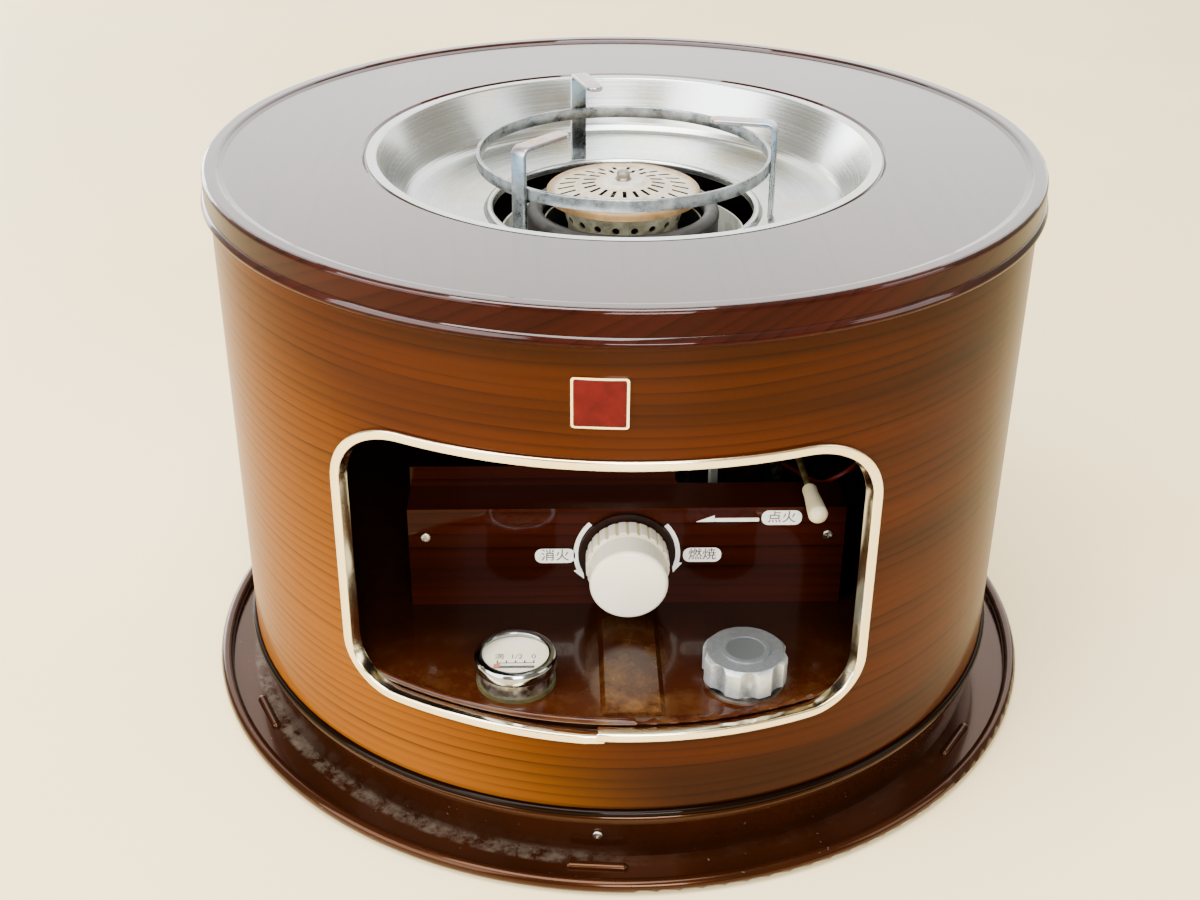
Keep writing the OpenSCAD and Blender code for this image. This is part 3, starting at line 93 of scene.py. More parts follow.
def mottled(name, dark, light, grain, smooth, rough, bump=0.0, **sockets):
    made, tree, shader, place = material(name, **sockets)
    cloud = add(tree, "ShaderNodeTexNoise", {"Vector": place, "Scale": 1 / (grain * mm), "Detail": 5.0})
    spread = add(tree, "ShaderNodeMapRange", {"Value": cloud.outputs[0], "From Min": 0.32, "From Max": 0.68})
    tone = add(tree, "ShaderNodeMix", {0: spread.outputs[0], 6: linear(dark), 7: linear(light)},
               data_type="RGBA")
    wear = add(tree, "ShaderNodeMapRange", {"Value": spread.outputs[0], "To Min": smooth, "To Max": rough})
    relief = None
    if bump:
        relief = add(tree, "ShaderNodeBump", {"Height": cloud.outputs[0], "Distance": bump * mm,
                                              "Strength": 0.6})
    wire(tree, shader, tone, wear, relief)
    return made


bpy.ops.object.select_all(action="DESELECT")
bpy.ops.mesh.primitive_plane_add(size=8, location=(0, 0, -0.0005))
bpy.ops.object.transform_apply(location=True)
floor = bpy.context.object
floor.name = "floor"
floor.data.materials.append(mottled("pale_board", "#f0d89c", "#f6e2b0", grain=400, smooth=0.45, rough=0.6))

# Room light: a warm dim room, large lamps at the left, above and in front, and a wide bright wall behind that
# the glossy top mirrors.
room = bpy.data.worlds.new("room")
bpy.context.scene.world = room
room.use_nodes = True
room.node_tree.nodes["Background"].inputs["Color"].default_value = linear("#f6ead0")
room.node_tree.nodes["Background"].inputs["Strength"].default_value = 0.6
for name, at, to, wide, high, watts in (("lamp_left", (-1.6, -1.1, 1.1), (0, 0, 0.15), 1.8, 1.5, 85),
                                        ("lamp_right", (1.6, -0.5, 0.9), (0, 0, 0.15), 0.8, 0.8, 9),
                                        ("lamp_above", (-0.3, -0.5, 2.0), (0, 0, 0.2), 1.3, 1.3, 95),
                                        ("lamp_front", (0.2, -2.4, 1.3), (0, 0, 0.15), 0.9, 0.9, 85),
                                        ("lamp_window", (-1.5, 1.9, 0.55), (0, 0, 0.3), 1.0, 0.9, 26),
                                        ("lamp_wall", (0, 2.2, 1.3), (0, 0, 0.25), 5.0, 2.6, 135)):
    lamp = bpy.data.lights.new(name, "AREA")
    lamp.shape = "RECTANGLE"
    lamp.size = wide
    lamp.size_y = high
    lamp.energy = watts
    stand = bpy.data.objects.new(name, lamp)
    bpy.context.scene.collection.objects.link(stand)
    stand.location = at
    stand.rotation_euler = (Vector(to) - Vector(at)).to_track_quat("-Z", "Y").to_euler()

# Floor tray and base ring: pressed sheet steel in dark brown stove enamel, fired to a wet gloss. Grey dust
# lies in the groove between them, thickest at the front left, and pale specks of dirt lie on the tray.
base_foot_r, groove_r = 222.2, 224.0


def dress(finish, *nodes):
    for name in nodes:
        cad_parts[name].material_slots[0].material = finish


def from_axis(tree, place, first=0, second=1):
    axes = add(tree, "ShaderNodeSeparateXYZ", {0: place})
    flat = add(tree, "ShaderNodeCombineXYZ", {0: axes.outputs[first], 1: axes.outputs[second]})
    out = add(tree, "ShaderNodeVectorMath", {0: flat.outputs[0]}, operation="LENGTH")
    return axes, flat, out


enamel, tree, shader, place = material("brown_stove_enamel", Coat_Weight=0.15, Coat_Roughness=0.05,
                                       Specular_IOR_Level=0.25, Specular_Tint=linear("#ffa860"))
cloud = add(tree, "ShaderNodeTexNoise", {"Vector": place, "Scale": 1 / (38.46 * mm), "Detail": 6.0})
body = add(tree, "ShaderNodeMix", {0: cloud.outputs[0], 6: linear("#150702"), 7: linear("#260e04")},
           data_type="RGBA")
axes, flat, out = from_axis(tree, place)
near = add(tree, "ShaderNodeMapRange", {"Value": out.outputs["Value"], "From Min": groove_r * mm,
                                        "From Max": base_foot_r * mm})
low = add(tree, "ShaderNodeMapRange", {"Value": axes.outputs[2], "From Min": 6 * mm, "From Max": 1.5 * mm})
side = add(tree, "ShaderNodeMapRange", {"Value": axes.outputs[0], "From Min": 10 * mm, "From Max": -50 * mm,
                                        "To Min": 0.05})
patch = add(tree, "ShaderNodeTexNoise", {"Vector": place, "Scale": 1 / (9.091 * mm), "Detail": 8.0,
                                         "Roughness": 0.75})
caught = add(tree, "ShaderNodeMapRange", {"Value": patch.outputs[0], "From Min": 0.42, "From Max": 0.7,
                                          "To Max": 0.5})
groove = add(tree, "ShaderNodeMath", {0: near.outputs[0], 1: low.outputs[0]}, operation="MULTIPLY")
drift = add(tree, "ShaderNodeMath", {0: groove.outputs[0], 1: side.outputs[0]}, operation="MULTIPLY")
dust = add(tree, "ShaderNodeMath", {0: drift.outputs[0], 1: caught.outputs[0]}, operation="MULTIPLY")
speck = add(tree, "ShaderNodeTexNoise", {"Vector": place, "Scale": 1 / (2.941 * mm), "Detail": 2.0})
grit = add(tree, "ShaderNodeMapRange", {"Value": speck.outputs[0], "From Min": 0.745, "From Max": 0.79,
                                        "To Max": 0.45})
dirt = add(tree, "ShaderNodeMath", {0: dust.outputs[0], 1: grit.outputs[0]}, operation="MAXIMUM")
worn = add(tree, "ShaderNodeMix", {0: dirt.outputs[0], 6: body.outputs[2], 7: linear("#6a6255")},
           data_type="RGBA")
gloss = add(tree, "ShaderNodeMapRange", {"Value": dirt.outputs[0], "To Min": 0.18, "To Max": 0.8})
wire(tree, shader, worn, gloss)
dress(enamel, "floor_tray", "base_ring")

# Screws: small zinc-plated pan heads with a cross recess, bright with dull clouds in the plating. Four hold
# the base to the tank and two hold the control panel. One head is modelled and copied to each place.


def seat(piece, finish, body, slot, *nodes):
    piece.data.materials.clear()
    piece.data.materials.append(finish)
    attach(piece, body)
    if nodes:
        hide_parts(*nodes)


def only(piece):
    bpy.ops.object.select_all(action="DESELECT")
    piece.select_set(True)
    bpy.context.view_layer.objects.active = piece


def finished(piece, kind, **settings):
    step = piece.modifiers.new(kind.lower(), kind)
    for name, value in settings.items():
        setattr(step, name, value)
    bpy.ops.object.modifier_apply(modifier=step.name)


plated = mottled("zinc_plated_steel", "#6d6a64", "#d6d3cc", grain=5, smooth=0.2, rough=0.42, Metallic=1.0)


def screw_head(radius, height):
    bpy.ops.object.select_all(action="DESELECT")
    bpy.ops.mesh.primitive_cylinder_add(vertices=32, radius=radius * mm, depth=height * mm,
                                        location=(0, 0, height * mm / 2))
    head = bpy.context.object
    bpy.ops.object.transform_apply(location=True)
    finished(head, "BEVEL", width=height * 0.8 * mm, segments=5, limit_method="ANGLE")
    bpy.ops.object.select_all(action="DESELECT")
    bpy.ops.mesh.primitive_cube_add(size=1, location=(0, 0, height * mm))
    cross = bpy.context.object
    cross.dimensions = (radius * 1.2 * mm, radius * 0.3 * mm, height * 1.1 * mm)
    bpy.ops.object.transform_apply(location=True, scale=True)
    bpy.ops.object.mode_set(mode="EDIT")
    bpy.ops.mesh.select_all(action="SELECT")
    bpy.ops.mesh.duplicate()
    bpy.ops.transform.rotate(value=math.pi / 2, orient_axis="Z", center_override=(0, 0, 0))
    bpy.ops.object.mode_set(mode="OBJECT")
    only(head)
    finished(head, "BOOLEAN", object=cross, solver="EXACT", use_self=True)
    bpy.data.objects.remove(cross)
    bpy.ops.object.shade_smooth_by_angle(angle=math.radians(40))
    return head


def joined(name, pieces):
    bpy.ops.object.select_all(action="DESELECT")
    for piece in pieces:
        piece.select_set(True)
    bpy.context.view_layer.objects.active = pieces[0]
    bpy.ops.object.join()
    pieces[0].name = name
    return pieces[0]


def copies(name, model, places):
    made = []
    for spot in places:
        twin = bpy.data.objects.new(name, model.data.copy())
        bpy.context.scene.collection.objects.link(twin)
        twin.data.transform(spot)
        made.append(twin)
    bpy.data.objects.remove(model)
    return joined(name, made)


casing_turn, base_screw_r, base_screw_z, base_screw_lean = math.radians(-4.6), 218.6, 18.3, math.radians(99.3)
base_screws = copies("base_screw_heads", screw_head(radius=2.6, height=1.6), [
    Matrix.Rotation(casing_turn + i * math.pi / 2, 4, "Z")
    @ Matrix.Translation((0, -base_screw_r * mm, base_screw_z * mm))
    @ Matrix.Rotation(base_screw_lean, 4, "X") for i in range(4)])
seat(base_screws, plated, "stove", "bright_steel", "base_screws")

# Fuel tank: two deep-drawn halves joined at a rolled edge, in the same brown enamel. Kerosene and dust have
# left a dull film on the top, mostly along the front edge and on the ridge before the panel. Painted light:
# the top is also a lighter brown towards its front edge, and the back stays darker as painted shade.
film, tree, shader, place = material("oily_brown_enamel", Coat_Weight=0.15, Coat_Roughness=0.05,
                                     Specular_IOR_Level=0.15)
cloud = add(tree, "ShaderNodeTexNoise", {"Vector": place, "Scale": 1 / (45.45 * mm), "Detail": 5.0})
body = add(tree, "ShaderNodeMix", {0: cloud.outputs[0], 6: linear("#0e0300"), 7: linear("#220a02")},
           data_type="RGBA")
smear = add(tree, "ShaderNodeTexNoise", {"Vector": place, "Scale": 1 / (20.83 * mm), "Detail": 8.0,
                                         "Roughness": 0.72})
thick = add(tree, "ShaderNodeMapRange", {"Value": smear.outputs[0], "From Min": 0.46, "From Max": 0.76,
                                         "To Max": 0.55})
axes = add(tree, "ShaderNodeSeparateXYZ", {0: place})
middle = add(tree, "ShaderNodeMath", {0: axes.outputs[0]}, operation="ABSOLUTE")
ridge = add(tree, "ShaderNodeMapRange", {"Value": middle.outputs[0], "From Min": 22 * mm,
                                         "From Max": 12 * mm})
front = add(tree, "ShaderNodeMapRange", {"Value": axes.outputs[1], "From Min": -130 * mm,
                                         "From Max": -200 * mm, "To Min": 0.1})
where = add(tree, "ShaderNodeMath", {0: ridge.outputs[0], 1: 0.3}, operation="MAXIMUM")
reach = add(tree, "ShaderNodeMath", {0: front.outputs[0], 1: where.outputs[0]}, operation="MULTIPLY")
dirt = add(tree, "ShaderNodeMath", {0: thick.outputs[0], 1: reach.outputs[0]}, operation="MULTIPLY")
# Painted light: lighter brown towards the front edge, with the back left darker as painted shade.
front_painted_light = add(tree, "ShaderNodeMix", {0: front.outputs[0], 6: body.outputs[2], 7: linear("#321204")},
            data_type="RGBA")
worn = add(tree, "ShaderNodeMix", {0: dirt.outputs[0], 6: front_painted_light.outputs[2], 7: linear("#86602e")},
           data_type="RGBA")
gloss = add(tree, "ShaderNodeMapRange", {"Value": dirt.outputs[0], "To Min": 0.14, "To Max": 0.75})
wire(tree, shader, worn, gloss)
dress(film, "tank_top", "tank_shell")

# Filler: a short plated neck with a rubber ring and a die-cast cap. The cap's eight lobes and the edges of
# its face are worn bright, and the hollows between them are still dull grey.
dress(mottled("tinned_neck_steel", "#77766f", "#c9c8c0", grain=8, smooth=0.25, rough=0.45, Metallic=1.0),
      "filler_neck")
dress(mottled("black_seal_rubber", "#141414", "#242322", grain=2, smooth=0.6, rough=0.8, bump=0.05),
      "cap_gasket")
cap_at = (57.0, -178.0)


def softened(node, name, width, segments=3, corner=28, smooth=38):
    piece = bpy.data.objects.new(name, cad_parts[node].data.copy())
    bpy.context.scene.collection.objects.link(piece)
    only(piece)
    bpy.ops.object.mode_set(mode="EDIT")
    bpy.ops.mesh.select_all(action="SELECT")
    bpy.ops.mesh.remove_doubles(threshold=2e-5)
    bpy.ops.mesh.dissolve_limited(angle_limit=math.radians(0.6))
    bpy.ops.object.mode_set(mode="OBJECT")
    finished(piece, "BEVEL", width=width * mm, segments=segments, limit_method="ANGLE",
             angle_limit=math.radians(corner), miter_outer="MITER_ARC")
    bpy.ops.object.shade_smooth_by_angle(angle=math.radians(smooth))
    return piece


cast, tree, shader, place = material("worn_zinc_casting", Metallic=0.6)
own = add(tree, "ShaderNodeMapping", {"Vector": place, "Location": (-cap_at[0] * mm, -cap_at[1] * mm, 0)})
axes, flat, out = from_axis(tree, own.outputs[0])
grain = add(tree, "ShaderNodeTexNoise", {"Vector": place, "Scale": 1 / (2.381 * mm), "Detail": 6.0,
                                         "Roughness": 0.7})
lobe = add(tree, "ShaderNodeMapRange", {"Value": out.outputs["Value"], "From Min": 18.7 * mm,
                                        "From Max": 21.2 * mm})
rubbed = add(tree, "ShaderNodeMath", {0: lobe.outputs[0], 1: grain.outputs[0]}, operation="MULTIPLY")
bright = add(tree, "ShaderNodeMapRange", {"Value": rubbed.outputs[0], "From Min": 0.1, "From Max": 0.5})
hub = add(tree, "ShaderNodeMapRange", {"Value": out.outputs["Value"], "From Min": 9.8 * mm,
                                       "From Max": 9.2 * mm})
dull = add(tree, "ShaderNodeMix", {0: grain.outputs[0], 6: linear("#5e6264"), 7: linear("#969b9d")},
           data_type="RGBA")
disc = add(tree, "ShaderNodeMix", {0: hub.outputs[0], 6: dull.outputs[2], 7: linear("#6c7072")},
           data_type="RGBA")
tone = add(tree, "ShaderNodeMix", {0: bright.outputs[0], 6: disc.outputs[2], 7: linear("#c2c5c6")},
           data_type="RGBA")
wear = add(tree, "ShaderNodeMapRange", {"Value": grain.outputs[0], "To Min": 0.24, "To Max": 0.5})
relief = add(tree, "ShaderNodeBump", {"Height": grain.outputs[0], "Distance": 0.1 * mm, "Strength": 0.35})
wire(tree, shader, tone, wear, relief)
seat(softened("filler_cap", "filler_cap_casting", width=0.7, segments=4), cast, "cap", "cap_metal",
     "filler_cap")

# Fuel gauge: a plated can on a yellowed seal, with a cream card under glass and a chromed bezel. The float
# inside the tank swings an orange flag along the slot in the card.
dress(mottled("yellowed_gauge_seal", "#2c2810", "#4a4420", grain=6, smooth=0.5, rough=0.7), "gauge_seal")
dress(plated, "gauge_body", "float_arm")
dress(mottled("sealed_cork", "#8a5a2e", "#b98850", grain=3, smooth=0.7, rough=0.9, bump=0.2), "float")
dress(mottled("cream_dial_card", "#e6dcb6", "#f2ead0", grain=12, smooth=0.55, rough=0.7), "gauge_dial")
dress(mottled("clear_gauge_glass", "#eef2f0", "#f8faf8", grain=20, smooth=0.02, rough=0.05, Alpha=0.05,
              Specular_IOR_Level=0.15), "gauge_lens")
chrome = mottled("bright_chrome", "#85888b", "#b4b7b9", grain=9, smooth=0.06, rough=0.2, Metallic=1.0)
seat(softened("gauge_bezel", "gauge_bezel_ring", width=0.6), chrome, "stove", "bright_steel", "gauge_bezel")

# Gauge card printing: a scale line with five ticks and its end marks, screen-printed on the card in black.
# The ink stands a few hundredths of a millimetre proud.


def lettering(word, size, x, y, z, turn):
    bpy.ops.object.select_all(action="DESELECT")
    bpy.ops.object.text_add()
    text = bpy.context.object
    text.data.body = word
    text.data.size = size * mm
    text.data.align_x = "CENTER"
    text.data.align_y = "CENTER"
    text.data.extrude = 0.03 * mm
    text.data.offset = 0.004 * size * mm
    bpy.ops.object.convert(target="MESH")
    text.data.transform(Matrix.Translation((x * mm, y * mm, z * mm)) @ Matrix.Rotation(turn, 4, "X"))
    return text


ink = mottled("black_print_ink", "#1a1614", "#2c2622", grain=2, smooth=0.5, rough=0.65)
gauge_at, card_z, mark_y, mark_h = (-58.0, -177.0), 96.85, 1.8, 5.0
line_y, line_l, tick_y, tick_w, tick_h, tick_gap = -3.3, 19, -2.2, 0.8, 2.2, 4.55
ticks = [(i * tick_gap, tick_y, tick_w, tick_h) for i in range(-2, 3)]
marks = []
for x, y, wide, high in [(0, line_y, line_l, tick_w)] + ticks:
    bpy.ops.object.select_all(action="DESELECT")
    bpy.ops.mesh.primitive_plane_add(size=1, location=((gauge_at[0] + x) * mm, (gauge_at[1] + y) * mm,
                                                       card_z * mm))
    mark = bpy.context.object
    mark.scale = (wide * mm, high * mm, 1)
    bpy.ops.object.transform_apply(location=True, scale=True)
    finished(mark, "SOLIDIFY", thickness=0.05 * mm)
    marks.append(mark)
for word, x in (("満", -8.2), ("1/2", 0.4), ("0", 9.0)):
    marks.append(lettering(word, mark_h, gauge_at[0] + x, gauge_at[1] + mark_y, card_z, 0.0))
seat(joined("gauge_card_print", marks), ink, "stove", "dial_cream")

# Gauge flag: a small folded tab on the float's arm, painted orange. Its stem comes up through the slot of the
# card and its flat head lies between the card and the glass, square to the line from the arm's pivot.


def picked(piece, kind, test):
    bpy.ops.object.mode_set(mode="EDIT")
    bpy.ops.mesh.select_mode(type=kind)
    bpy.ops.mesh.select_all(action="DESELECT")
    bpy.ops.object.mode_set(mode="OBJECT")
    spots = [v.co for v in piece.data.vertices]
    if kind == "VERT":
        for v in piece.data.vertices:
            v.select = test(v.co)
    elif kind == "FACE":
        for f in piece.data.polygons:
            f.select = test(f.center)
    else:
        for e in piece.data.edges:
            e.select = test(*[spots[i] for i in e.vertices])
    bpy.ops.object.mode_set(mode="EDIT")


float_pivot, flag_out, full_mark = (-58.0, -183.0, 60.0), 38.45, math.radians(-14)
flag_w, flag_d, flag_t, stem_inset, stem_l = 3.2, 3.4, 0.15, 1.1, 6.4
bpy.ops.object.select_all(action="DESELECT")
bpy.ops.mesh.primitive_cube_add(size=1, location=(0, 0, flag_out * mm))
flag = bpy.context.object
flag.name = "gauge_flag"
flag.dimensions = (flag_w * mm, flag_d * mm, flag_t * mm)
bpy.ops.object.transform_apply(location=True, scale=True)
picked(flag, "FACE", lambda c: c.z < (flag_out - 0.4 * flag_t) * mm)
bpy.ops.mesh.inset(thickness=stem_inset * mm)
bpy.ops.mesh.extrude_region_move(TRANSFORM_OT_translate={"value": (0, 0, -stem_l * mm)})
bpy.ops.object.mode_set(mode="OBJECT")
finished(flag, "BEVEL", width=0.05 * mm, segments=2, limit_method="ANGLE")
bpy.ops.object.shade_smooth_by_angle(angle=math.radians(40))
flag.data.transform(Matrix.Translation([v * mm for v in float_pivot]) @ Matrix.Rotation(full_mark, 4, "Y"))
orange = mottled("orange_flag_paint", "#a84200", "#c05000", grain=4, smooth=0.4, rough=0.55,
                 Specular_IOR_Level=0.2)
seat(flag, orange, "float", "pointer_orange", "gauge_pointer")

# Draught tube, wick tube and wick: two drawn steel tubes stand on the tank with a woven cotton wick between
# them, pinned to a toothed sleeve. They are out of sight, and the wick is charred at the top.
dress(mottled("drawn_tube_steel", "#57554f", "#9a988f", grain=10, smooth=0.3, rough=0.5, Metallic=1.0),
      "draught_tube", "wick_tube")
cotton, tree, shader, place = material("woven_cotton_wick", Roughness=0.95)
weave = add(tree, "ShaderNodeTexWave", {"Vector": place, "Scale": 1 / (5.556 * mm), "Distortion": 1.5},
            bands_direction="Z")
thread = add(tree, "ShaderNodeMix", {0: weave.outputs[1], 6: linear("#b8aa8a"), 7: linear("#e4dbc4")},
             data_type="RGBA")
axes = add(tree, "ShaderNodeSeparateXYZ", {0: place})
char = add(tree, "ShaderNodeMapRange", {"Value": axes.outputs[2], "From Min": 152 * mm, "From Max": 161 * mm})
burnt = add(tree, "ShaderNodeMix", {0: char.outputs[0], 6: thread.outputs[2], 7: linear("#15110e")},
            data_type="RGBA")
relief = add(tree, "ShaderNodeBump", {"Height": weave.outputs[1], "Distance": 0.4 * mm})
wire(tree, shader, burnt, relief=relief)
dress(cotton, "wick")
dress(plated, "wick_sleeve")

# Wick drive and shut-off: a plated spindle in a pressed bracket turns a brass pinion against the sleeve. The
# ratchet, its spring and the hanging weight let the wick drop if the heater is knocked over.
brass = mottled("dull_brass", "#7d5a1c", "#b98f3c", grain=6, smooth=0.28, rough=0.5, Metallic=1.0)
dress(brass, "wick_pinion", "spindle_bush")
dress(plated, "wick_spindle", "spindle_bracket", "shutoff_ratchet", "shutoff_bracket")
dress(mottled("spring_steel", "#2e2d2b", "#6c6a66", grain=3, smooth=0.25, rough=0.4, Metallic=1.0),
      "return_spring")
dress(mottled("cast_weight_zinc", "#5d5e5c", "#93948f", grain=4, smooth=0.4, rough=0.6, bump=0.1,
              Metallic=0.9), "shutoff_weight")

# Burner: two perforated flame tubes under a slotted spreader, inside a rolled jacket. Heat has turned the
# tubes tan outside and sooty inside, browned the spreader's rim and left the jacket nearly black.


def by_radius(name, inner, outer, rim, edges, grain, smooth, rough, metal, inside=None, slots=None):
    made, tree, shader, place = material(name, Metallic=metal)
    axes, flat, out = from_axis(tree, place)
    cloud = add(tree, "ShaderNodeTexNoise", {"Vector": place, "Scale": 1 / (grain * mm), "Detail": 7.0,
                                             "Roughness": 0.68})
    spread = add(tree, "ShaderNodeMapRange", {"Value": cloud.outputs[0], "From Min": 0.34, "From Max": 0.66})
    within, beyond = [add(tree, "ShaderNodeMapRange", {"Value": out.outputs["Value"], "From Min": a * mm,
                                                       "From Max": b * mm}) for a, b in edges]
    tones = [add(tree, "ShaderNodeMix", {0: spread.outputs[0], 6: linear(a), 7: linear(b)}, data_type="RGBA")
             for a, b in (inner, outer, rim)]
    first = add(tree, "ShaderNodeMix", {0: within.outputs[0], 6: tones[0].outputs[2], 7: tones[1].outputs[2]},
                data_type="RGBA")
    tone = add(tree, "ShaderNodeMix", {0: beyond.outputs[0], 6: first.outputs[2], 7: tones[2].outputs[2]},
               data_type="RGBA")
    if inside:
        skin = add(tree, "ShaderNodeNewGeometry")
        facing = add(tree, "ShaderNodeVectorMath", {0: skin.outputs["Normal"], 1: flat.outputs[0]},
                     operation="DOT_PRODUCT")
        soot = add(tree, "ShaderNodeMapRange", {"Value": facing.outputs["Value"], "From Min": 0.004,
                                                "From Max": -0.004})
        tone = add(tree, "ShaderNodeMix", {0: soot.outputs[0], 6: tone.outputs[2], 7: linear(inside)},
                   data_type="RGBA")
    if slots:
        skin = add(tree, "ShaderNodeNewGeometry")
        lean = add(tree, "ShaderNodeSeparateXYZ", {0: skin.outputs["Normal"]})
        steep = add(tree, "ShaderNodeMapRange", {"Value": lean.outputs[2], "From Min": 0.6, "From Max": 0.4})
        inner_part = add(tree, "ShaderNodeMath", {0: out.outputs["Value"], 1: slots * mm},
                         operation="LESS_THAN")
        soot = add(tree, "ShaderNodeMath", {0: steep.outputs[0], 1: inner_part.outputs[0]},
                   operation="MULTIPLY")
        tone = add(tree, "ShaderNodeMix", {0: soot.outputs[0], 6: tone.outputs[2], 7: linear("#120d0a")},
                   data_type="RGBA")
    wear = add(tree, "ShaderNodeMapRange", {"Value": spread.outputs[0], "To Min": smooth, "To Max": rough})
    relief = add(tree, "ShaderNodeBump", {"Height": cloud.outputs[0], "Distance": 0.15 * mm, "Strength": 0.4})
    wire(tree, shader, tone, wear, relief)
    return made


flame_tube = by_radius("scaled_flame_tube_steel", inner=("#6b6650", "#b9b496"), outer=("#7d7860", "#c9c4a6"),
                       rim=("#86805f", "#d4cdae"), edges=((31.6, 33.4), (35.5, 36.5)), grain=7, smooth=0.45,
                       rough=0.7, metal=0.3, inside="#0a0807")
dress(flame_tube, "inner_flame_tube", "outer_flame_tube")
spreader = by_radius("heated_spreader_steel", inner=("#a8a498", "#ccc8bc"), outer=("#a49880", "#cabfa8"),
                     rim=("#6b5232", "#9a7a4e"), edges=((9.0, 12.5), (36.5, 40.0)), grain=9, smooth=0.4,
                     rough=0.62, metal=0.25, slots=37.0)
dress(spreader, "flame_spreader")
jacket = by_radius("blackened_jacket_steel", inner=("#2a2825", "#4d4943"), outer=("#131211", "#262422"),
                   rim=("#1c1b1a", "#34312d"), edges=((44.6, 46.4), (50.0, 52.0)), grain=6, smooth=0.4,
                   rough=0.6, metal=0.25)
dress(jacket, "burner_jacket")
dress(mottled("heat_dulled_steel", "#5f594e", "#9c9484", grain=3, smooth=0.35, rough=0.55, Metallic=0.9),
      "spreader_screw", "burner_pins")

# Heat shield: a deep cup of galvanised sheet on three feet, with the spangle of the zinc in patches of
# about 12 mm and smoke stains in scattered cloudy patches.
galvanised, tree, shader, place = material("galvanised_sheet", Metallic=0.35)
spangle = add(tree, "ShaderNodeTexVoronoi", {"Vector": place, "Scale": 1 / (12 * mm)})
smoke = add(tree, "ShaderNodeTexNoise", {"Vector": place, "Scale": 1 / (33.33 * mm), "Detail": 6.0})
leaf = add(tree, "ShaderNodeMix", {0: spangle.outputs["Color"], 6: linear("#b6b8aa"), 7: linear("#e2e4d6")},
           data_type="RGBA")
stain = add(tree, "ShaderNodeMapRange", {"Value": smoke.outputs[0], "From Min": 0.45, "From Max": 0.7,
                                         "To Max": 0.45})
tone = add(tree, "ShaderNodeMix", {0: stain.outputs[0], 6: leaf.outputs[2], 7: linear("#7d6f50")},
           data_type="RGBA")
wear = add(tree, "ShaderNodeMapRange", {"Value": smoke.outputs[0], "To Min": 0.2, "To Max": 0.5})
wire(tree, shader, tone, wear)
dress(galvanised, "heat_shield", "shield_legs")

# Ignition lever and igniter: a bent steel rod, browned by heat, turns on a plated post and swings the glow
# igniter to the wick. Its tip is a moulded cream cover, and a red silicone lead feeds it.
ivory = mottled("aged_cream_abs", "#d9c99a", "#f0e4c2", grain=14, smooth=0.3, rough=0.45, bump=0.03, IOR=1.53)
dress(mottled("browned_lever_steel", "#4a3a1c", "#8d7a4c", grain=5, smooth=0.3, rough=0.5, Metallic=0.8),
      "lever_arm")
dress(plated, "lever_pivot")
dress(mottled("glazed_igniter_ceramic", "#cfc8b8", "#e6e0d2", grain=4, smooth=0.25, rough=0.4), "igniter")
dress(mottled("red_silicone_sleeve", "#520302", "#7a0a06", grain=5, smooth=0.35, rough=0.5), "igniter_lead")
seat(softened("lever_tip", "lever_tip_cover", width=0.3, segments=2), ivory, "lever", "cream_plastic",
     "lever_tip")

# Battery box: moulded black ABS with a fine satin skin, and a cover that slips off at the back. Two dry cells
# in printed green jackets lie inside.
black_abs = mottled("moulded_black_abs", "#101010", "#1c1b1a", grain=1.2, smooth=0.42, rough=0.58, bump=0.08,
                    IOR=1.53, Specular_IOR_Level=0.2)
dress(black_abs, "battery_case")
dress(mottled("printed_cell_jacket", "#123a22", "#1d5a36", grain=30, smooth=0.25, rough=0.4), "battery_cells")
seat(softened("battery_cover", "battery_cover_moulding", width=0.5), black_abs, "cover", "black_plastic",
     "battery_cover")

# Control panel: folded sheet steel, wood-printed in reddish brown and lacquered. Two plated screws hold it,
# and a dark bevelled plate sits behind the knob.


def per_mm(along, across):
    return 1 / (along * mm), 1 / (along * mm), 1 / (across * mm)


